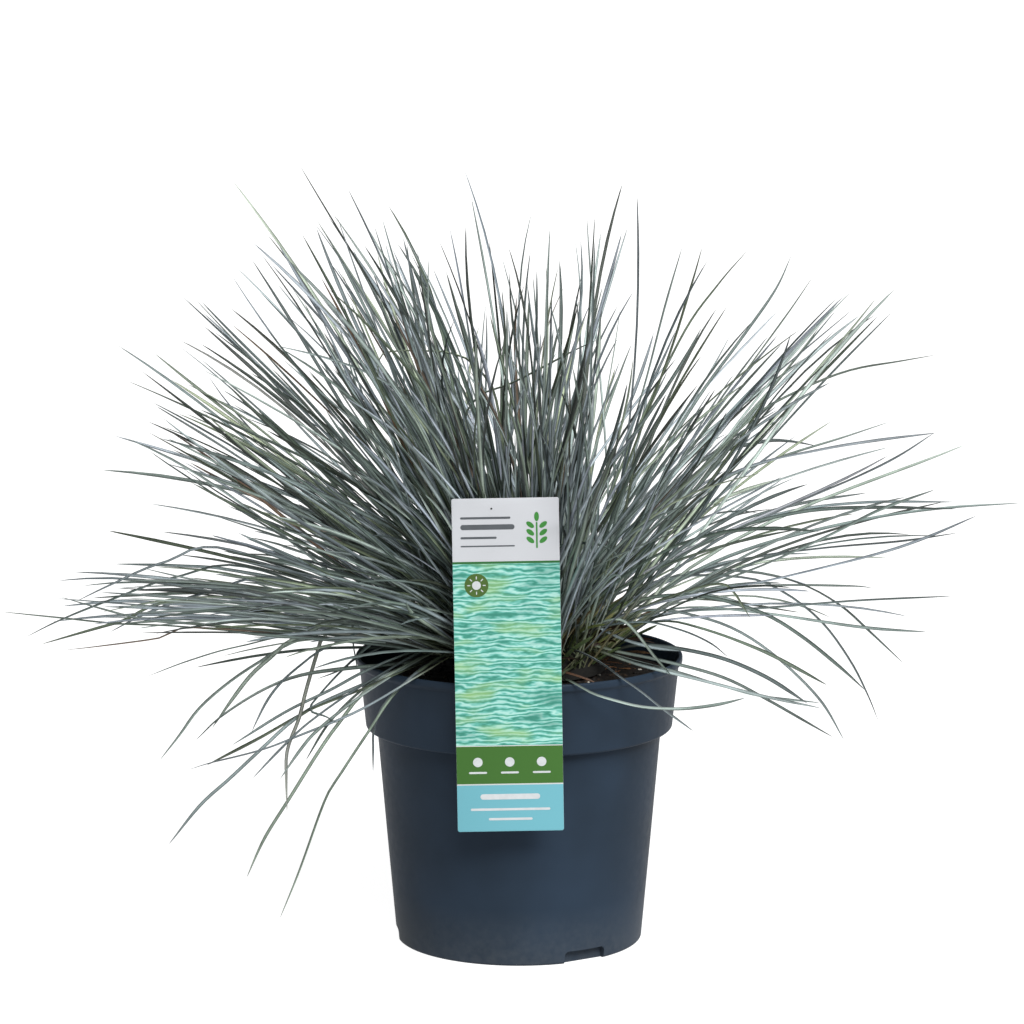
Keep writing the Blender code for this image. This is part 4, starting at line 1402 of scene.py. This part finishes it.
def label_place():
    """Puts a shape made round the card's middle, with its back on y = 0, where the label is."""
    return Matrix.Translation(LABEL_MIDDLE) @ Matrix.Rotation(LABEL_LEAN, 4, "Y")


def card_shape():
    shape = bmesh.new()
    bmesh.ops.create_cube(shape, size=1.0)
    bmesh.ops.scale(shape, vec=(LABEL_WIDTH, LABEL_THICK, LABEL_HEIGHT), verts=shape.verts)
    corners = [edge for edge in shape.edges if abs(edge.verts[0].co.y - edge.verts[1].co.y) > 0.5 * LABEL_THICK]
    bmesh.ops.bevel(
        shape, geom=corners, affect="EDGES", offset=LABEL_CORNER, segments=8, profile=0.5, material=-1
    )
    rims = [edge for edge in shape.edges if abs(edge.verts[0].co.y - edge.verts[1].co.y) < 1e-6]
    bmesh.ops.bevel(
        shape, geom=rims, affect="EDGES", offset=0.12 * MM, segments=2, profile=0.5, material=-1
    )
    bmesh.ops.translate(shape, vec=(0.0, -0.5 * LABEL_THICK, 0.0), verts=shape.verts)
    return shape


def hook_shape():
    """The hook on the card's back, over the rim and down inside the pot, from its side outline."""
    under = POT_HEIGHT + TOUCH_GAP
    over = under + HOOK_THICK
    root = LABEL_BACK_Y - 0.5 * LABEL_THICK
    inner = -(RIM_RADIUS - BEAD_PROUD - WALL - HOOK_CLEARANCE)
    end = inner + HOOK_THICK
    bottom = under - HOOK_DROP
    side = [(root, under), (inner, under), (inner, bottom), (end, bottom), (end, over), (root, over)]
    left = LABEL_MIDDLE.x - 0.5 * HOOK_WIDTH
    shape = bmesh.new()
    face = shape.faces.new([shape.verts.new((left, y, z)) for y, z in side])
    grown = bmesh.ops.extrude_face_region(shape, geom=[face])["geom"]
    moved = [item for item in grown if isinstance(item, bmesh.types.BMVert)]
    bmesh.ops.translate(shape, vec=(HOOK_WIDTH, 0.0, 0.0), verts=moved)
    bmesh.ops.recalc_face_normals(shape, faces=shape.faces)
    return shape


def label_material():
    """Printed polypropylene card: flat panels, and a field of soft ripples in leaf greens."""
    material, tree, shader = new_material("printed_polypropylene_card")
    uv = add_node(tree, "ShaderNodeUVMap", uv_map=LABEL_MAP)
    parts = add_node(tree, "ShaderNodeSeparateXYZ", {"Vector": uv.outputs["UV"]})
    level = parts.outputs["Y"]
    flat = add_node(tree, "ShaderNodeValToRGB", {"Fac": level}, stops=PANELS)
    flat.color_ramp.interpolation = "CONSTANT"
    card = (0.3 * LABEL_WIDTH / MM, LABEL_HEIGHT / MM, 0.0)
    spread = add_node(
        tree, "ShaderNodeVectorMath", {0: uv.outputs["UV"], 1: card}, operation="MULTIPLY"
    )
    ripple = add_node(
        tree,
        "ShaderNodeTexWave",
        {
            "Vector": spread.outputs["Vector"],
            "Scale": math.tau / (20.0 * RIPPLE_PERIOD),
            "Distortion": 11.0,
            "Detail": 3.0,
            "Detail Scale": 1.6,
        },
        wave_type="BANDS",
        bands_direction="Y",
    )
    streaks = add_node(
        tree,
        "ShaderNodeValToRGB",
        {"Fac": ripple.outputs["Fac"]},
        stops=((0.0, "#3f8776"), (0.35, "#5ea899"), (0.7, "#7fbdb4"), (1.0, "#a3d0c6")),
    )
    patch = add_node(
        tree, "ShaderNodeTexNoise", {"Vector": spread.outputs["Vector"], "Scale": 1.0 / 9.0, "Detail": 2.0}
    )
    sunny = add_node(
        tree,
        "ShaderNodeMapRange",
        {"Value": patch.outputs["Fac"], "From Min": 0.5, "From Max": 0.72, "To Min": 0.0, "To Max": 0.75},
    )
    shady = add_node(
        tree,
        "ShaderNodeMapRange",
        {"Value": patch.outputs["Fac"], "From Min": 0.28, "From Max": 0.45, "To Min": 0.7, "To Max": 0.0},
    )
    lit = add_node(
        tree,
        "ShaderNodeMix",
        {0: sunny.outputs["Result"], 6: streaks.outputs["Color"], 7: linear("#8fb36d")},
        data_type="RGBA",
    )
    picture = add_node(
        tree,
        "ShaderNodeMix",
        {0: shady.outputs["Result"], 6: lit.outputs[2], 7: linear("#38796a")},
        data_type="RGBA",
    )
    above = add_node(tree, "ShaderNodeMath", {0: level, 1: PANELS[4][0]}, operation="GREATER_THAN")
    below = add_node(tree, "ShaderNodeMath", {0: level, 1: PANELS[5][0]}, operation="LESS_THAN")
    within = add_node(
        tree, "ShaderNodeMath", {0: above.outputs["Value"], 1: below.outputs["Value"]}, operation="MULTIPLY"
    )
    printed = add_node(
        tree,
        "ShaderNodeMix",
        {0: within.outputs["Value"], 6: flat.outputs["Color"], 7: picture.outputs[2]},
        data_type="RGBA",
    )
    tree.links.new(printed.outputs[2], shader.inputs["Base Color"])
    shader.inputs["Roughness"].default_value = 0.38
    shader.inputs["IOR"].default_value = 1.49
    shader.inputs["Specular IOR Level"].default_value = 0.15
    return material


def backing_material():
    """Bare white polypropylene on the card's back, edges and hook."""
    material, tree, shader = new_material("white_polypropylene")
    place = add_node(tree, "ShaderNodeTexCoord")
    cloud = add_node(
        tree, "ShaderNodeTexNoise", {"Vector": place.outputs["Object"], "Scale": 1.0 / 0.012, "Detail": 2.0}
    )
    white = add_node(
        tree, "ShaderNodeValToRGB", {"Fac": cloud.outputs["Fac"]}, stops=((0.3, "#bfc1c4"), (0.7, "#c8cacd"))
    )
    tree.links.new(white.outputs["Color"], shader.inputs["Base Color"])
    shader.inputs["Roughness"].default_value = 0.42
    return material


def ink_material(name, code):
    """Screen ink on the card: a thin even film of colour, a little uneven where it dried."""
    material, tree, shader = new_material(name)
    place = add_node(tree, "ShaderNodeTexCoord")
    film = add_node(
        tree, "ShaderNodeTexNoise", {"Vector": place.outputs["Object"], "Scale": 1.0 / 0.003, "Detail": 2.0}
    )
    depth = add_node(
        tree,
        "ShaderNodeMapRange",
        {"Value": film.outputs["Fac"], "From Min": 0.3, "From Max": 0.7, "To Min": 0.94, "To Max": 1.04},
    )
    colour = add_node(
        tree, "ShaderNodeVectorMath", {0: linear(code)[:3], "Scale": depth.outputs["Result"]}, operation="SCALE"
    )
    tree.links.new(colour.outputs["Vector"], shader.inputs["Base Color"])
    shader.inputs["Roughness"].default_value = 0.4
    shader.inputs["Specular IOR Level"].default_value = 0.15
    return material


def flat_on_card(x, z, turn=0.0):
    """Puts a shape, flat on its own XZ plane, on the card's front at x and z from its middle."""
    film = 0.5 * PRINT_THICK - PRINT_SUNK
    return Matrix.Translation((x, -LABEL_THICK - film, z)) @ Matrix.Rotation(turn, 4, "Y")


def print_bar(shape, x, z, width, height, turn=0.0):
    """A printed bar with round ends."""
    size = Matrix.Diagonal((width, PRINT_THICK, height, 1.0))
    made = bmesh.ops.create_cube(shape, size=1.0, matrix=flat_on_card(x, z, turn) @ size)
    ends = [
        edge
        for edge in {edge for vert in made["verts"] for edge in vert.link_edges}
        if edge.calc_length() < 1.01 * PRINT_THICK
    ]
    bmesh.ops.bevel(
        shape, geom=ends, affect="EDGES", offset=0.49 * min(width, height), segments=4, profile=0.5, material=-1
    )


def print_disc(shape, x, z, radius, stretch=1.0, turn=0.0):
    """A printed disc, or a leaf-like oval if it is stretched."""
    lie = Matrix.Rotation(math.radians(90.0), 4, "X")
    size = Matrix.Diagonal((stretch, 1.0, 1.0, 1.0))
    bmesh.ops.create_cone(
        shape,
        cap_ends=True,
        segments=28,
        radius1=radius,
        radius2=radius,
        depth=PRINT_THICK,
        matrix=flat_on_card(x, z, turn) @ size @ lie,
    )


def print_sun(shape, x, z, radius):
    """A printed sun: a disc and eight rays that stand clear of it."""
    print_disc(shape, x, z, radius)
    for number in range(8):
        turn = math.tau * number / 8
        out = Vector((math.cos(turn), -math.sin(turn))) * radius * 1.75
        print_bar(shape, x + out.x, z + out.y, 0.7 * radius, 0.22 * radius, turn)


def print_sprig(shape, x, z, size):
    """A printed sprig: a stem with pairs of oval leaves and one at its top."""
    print_bar(shape, x, z, 0.07 * size, 1.1 * size)
    print_disc(shape, x, z + 0.78 * size, 0.1 * size, 2.0, math.radians(90.0))
    for level in (-0.2, 0.12, 0.44):
        for side in (-1.0, 1.0):
            print_disc(shape, x + side * 0.27 * size, z + level * size, 0.1 * size, 1.9, -side * math.radians(38.0))


def label_prints():
    """The generic prints of the card by ink: a sprig, rules and weather pictograms."""
    green, grey, white, olive = (bmesh.new() for _ in range(4))
    print_sprig(green, 15.5 * MM, 66.0 * MM, 12.0 * MM)
    for level, width, height in ((75.0, 25.0, 1.1), (70.4, 27.0, 2.6), (65.0, 18.0, 1.1), (60.8, 27.0, 0.7)):
        print_bar(grey, (0.5 * width - 22.5) * MM, level * MM, width * MM, height * MM)
    print_disc(olive, -15.0 * MM, 41.0 * MM, 6.0 * MM)
    print_sun(white, -15.0 * MM, 41.0 * MM, 2.2 * MM)
    for place in (-16.0, 0.0, 16.0):
        print_disc(white, place * MM, -49.2 * MM, 2.4 * MM)
        print_bar(white, place * MM, -54.6 * MM, 9.0 * MM, 1.0 * MM)
    for level, width, height in ((-67.0, 30.0, 2.8), (-73.5, 40.0, 1.2), (-78.5, 22.0, 1.2)):
        print_bar(white, 0.0, level * MM, width * MM, height * MM)
    return (("green", green, "#3f7f3c"), ("grey", grey, "#54585c"), ("white", white, "#bfc3c5"), ("olive", olive, "#47602f"))


def make_prints():
    for name, shape, code in label_prints():
        if name == "white":
            on_badge = [vert for vert in shape.verts if vert.co.z > 0.0]
            bmesh.ops.translate(shape, vec=(0.0, -0.5 * PRINT_THICK, 0.0), verts=on_badge)
        bmesh.ops.recalc_face_normals(shape, faces=shape.faces)
        bmesh.ops.transform(shape, matrix=label_place(), verts=shape.verts)
        finished(f"label_print_{name}", shape, [ink_material(f"label_ink_{name}", code)], (), 35.0)


def pinhole_shape():
    """The cutter of the small round hole near the card's top."""
    shape = bmesh.new()
    lie = Matrix.Rotation(math.radians(90.0), 4, "X")
    bmesh.ops.create_cone(
        shape,
        cap_ends=True,
        segments=20,
        radius1=PINHOLE_RADIUS,
        radius2=PINHOLE_RADIUS,
        depth=4.0 * LABEL_THICK,
        matrix=label_place() @ Matrix.Translation(PINHOLE_PLACE) @ lie,
    )
    return shape


def make_label():
    shape = card_shape()
    layer = shape.loops.layers.uv.new(LABEL_MAP)
    for face in shape.faces:
        for loop in face.loops:
            loop[layer].uv = (loop.vert.co.x / LABEL_WIDTH + 0.5, loop.vert.co.z / LABEL_HEIGHT + 0.5)
    bmesh.ops.transform(shape, matrix=label_place(), verts=shape.verts)
    hooked = bmesh.new()
    hooked.from_mesh(applied(shape, [hook_shape()], "UNION"))
    mesh = applied(hooked, [pinhole_shape()], "DIFFERENCE")
    label = placed("label_card", mesh, [label_material(), backing_material()], ["label"], 35.0)
    for face in label.data.polygons:
        face.material_index = 0 if face.normal.y < -0.9 and face.center.y < LABEL_BACK_Y - 0.9 * LABEL_THICK else 1


def seen_or_lit(tree, seen, lit):
    """A strength for what the camera sees, and another for the light that things get from it."""
    sight = add_node(tree, "ShaderNodeLightPath")
    return add_node(
        tree, "ShaderNodeMapRange", {"Value": sight.outputs["Is Camera Ray"], "To Min": lit, "To Max": seen}
    ).outputs["Result"]


def floor_material():
    """Pale matt studio floor, lifted a little so that it stays near white."""
    material, tree, shader = new_material("white_studio_floor")
    shader.inputs["Base Color"].default_value = linear("#898989")
    shader.inputs["Roughness"].default_value = 0.9
    shader.inputs["Specular IOR Level"].default_value = 0.0
    shader.inputs["Emission Color"].default_value = linear("#ffffff")
    tree.links.new(seen_or_lit(tree, FLOOR_SEEN, FLOOR_BOUNCE), shader.inputs["Emission Strength"])
    return material


def make_studio():
    shape = bmesh.new()
    bmesh.ops.create_grid(shape, x_segments=1, y_segments=1, size=0.5 * FLOOR_SIZE)
    mesh = bpy.data.meshes.new("floor")
    shape.to_mesh(mesh)
    shape.free()
    mesh.materials.append(floor_material())
    floor = bpy.data.objects.new("floor", mesh)
    bpy.context.scene.collection.objects.link(floor)
    world = bpy.data.worlds.new("studio")
    world.use_nodes = True
    background = world.node_tree.nodes["Background"]
    background.inputs["Color"].default_value = linear("#ffffff")
    world.node_tree.links.new(seen_or_lit(world.node_tree, 1.0, AMBIENT_LIGHT), background.inputs["Strength"])
    bpy.context.scene.world = world
    add_sun("soft_top_light", 3.75, (37.0, 8.0, 12.0), 40.0)
    add_softbox("key_softbox", 26.0, 0.8, Vector((1.5, -1.9, 1.7)), Vector((0.0, 0.0, 0.2)))


def add_sun(name, strength, turn, spread):
    light = bpy.data.lights.new(name, "SUN")
    light.energy = strength
    light.angle = math.radians(spread)
    lamp = bpy.data.objects.new(name, light)
    lamp.rotation_euler = [math.radians(angle) for angle in turn]
    bpy.context.scene.collection.objects.link(lamp)


def add_softbox(name, power, size, place, target):
    light = bpy.data.lights.new(name, "AREA")
    light.energy = power
    light.shape = "SQUARE"
    light.size = size
    lamp = bpy.data.objects.new(name, light)
    lamp.location = place
    lamp.rotation_euler = (target - place).to_track_quat("-Z", "Y").to_euler()
    bpy.context.scene.collection.objects.link(lamp)


def make_camera():
    camera = bpy.data.cameras.new("camera")
    camera.sensor_width = SENSOR_MM
    camera.lens = SENSOR_MM * CAMERA_LENS_PX / PHOTO_SIZE
    camera.clip_end = 100.0
    viewer = bpy.data.objects.new("camera", camera)
    viewer.location = CAMERA_PLACE
    viewer.rotation_euler = (math.radians(90.0) - CAMERA_PITCH, 0.0, 0.0)
    bpy.context.scene.collection.objects.link(viewer)
    bpy.context.scene.camera = viewer
    bpy.context.scene.view_settings.view_transform = "Standard"


def main():
    chance = random.Random(SEED)
    make_camera()
    make_studio()
    make_leaves(chance, leaf_material())
    make_crown(chance)
    make_soil(chance)
    make_pot()
    make_label()
    make_prints()


main()
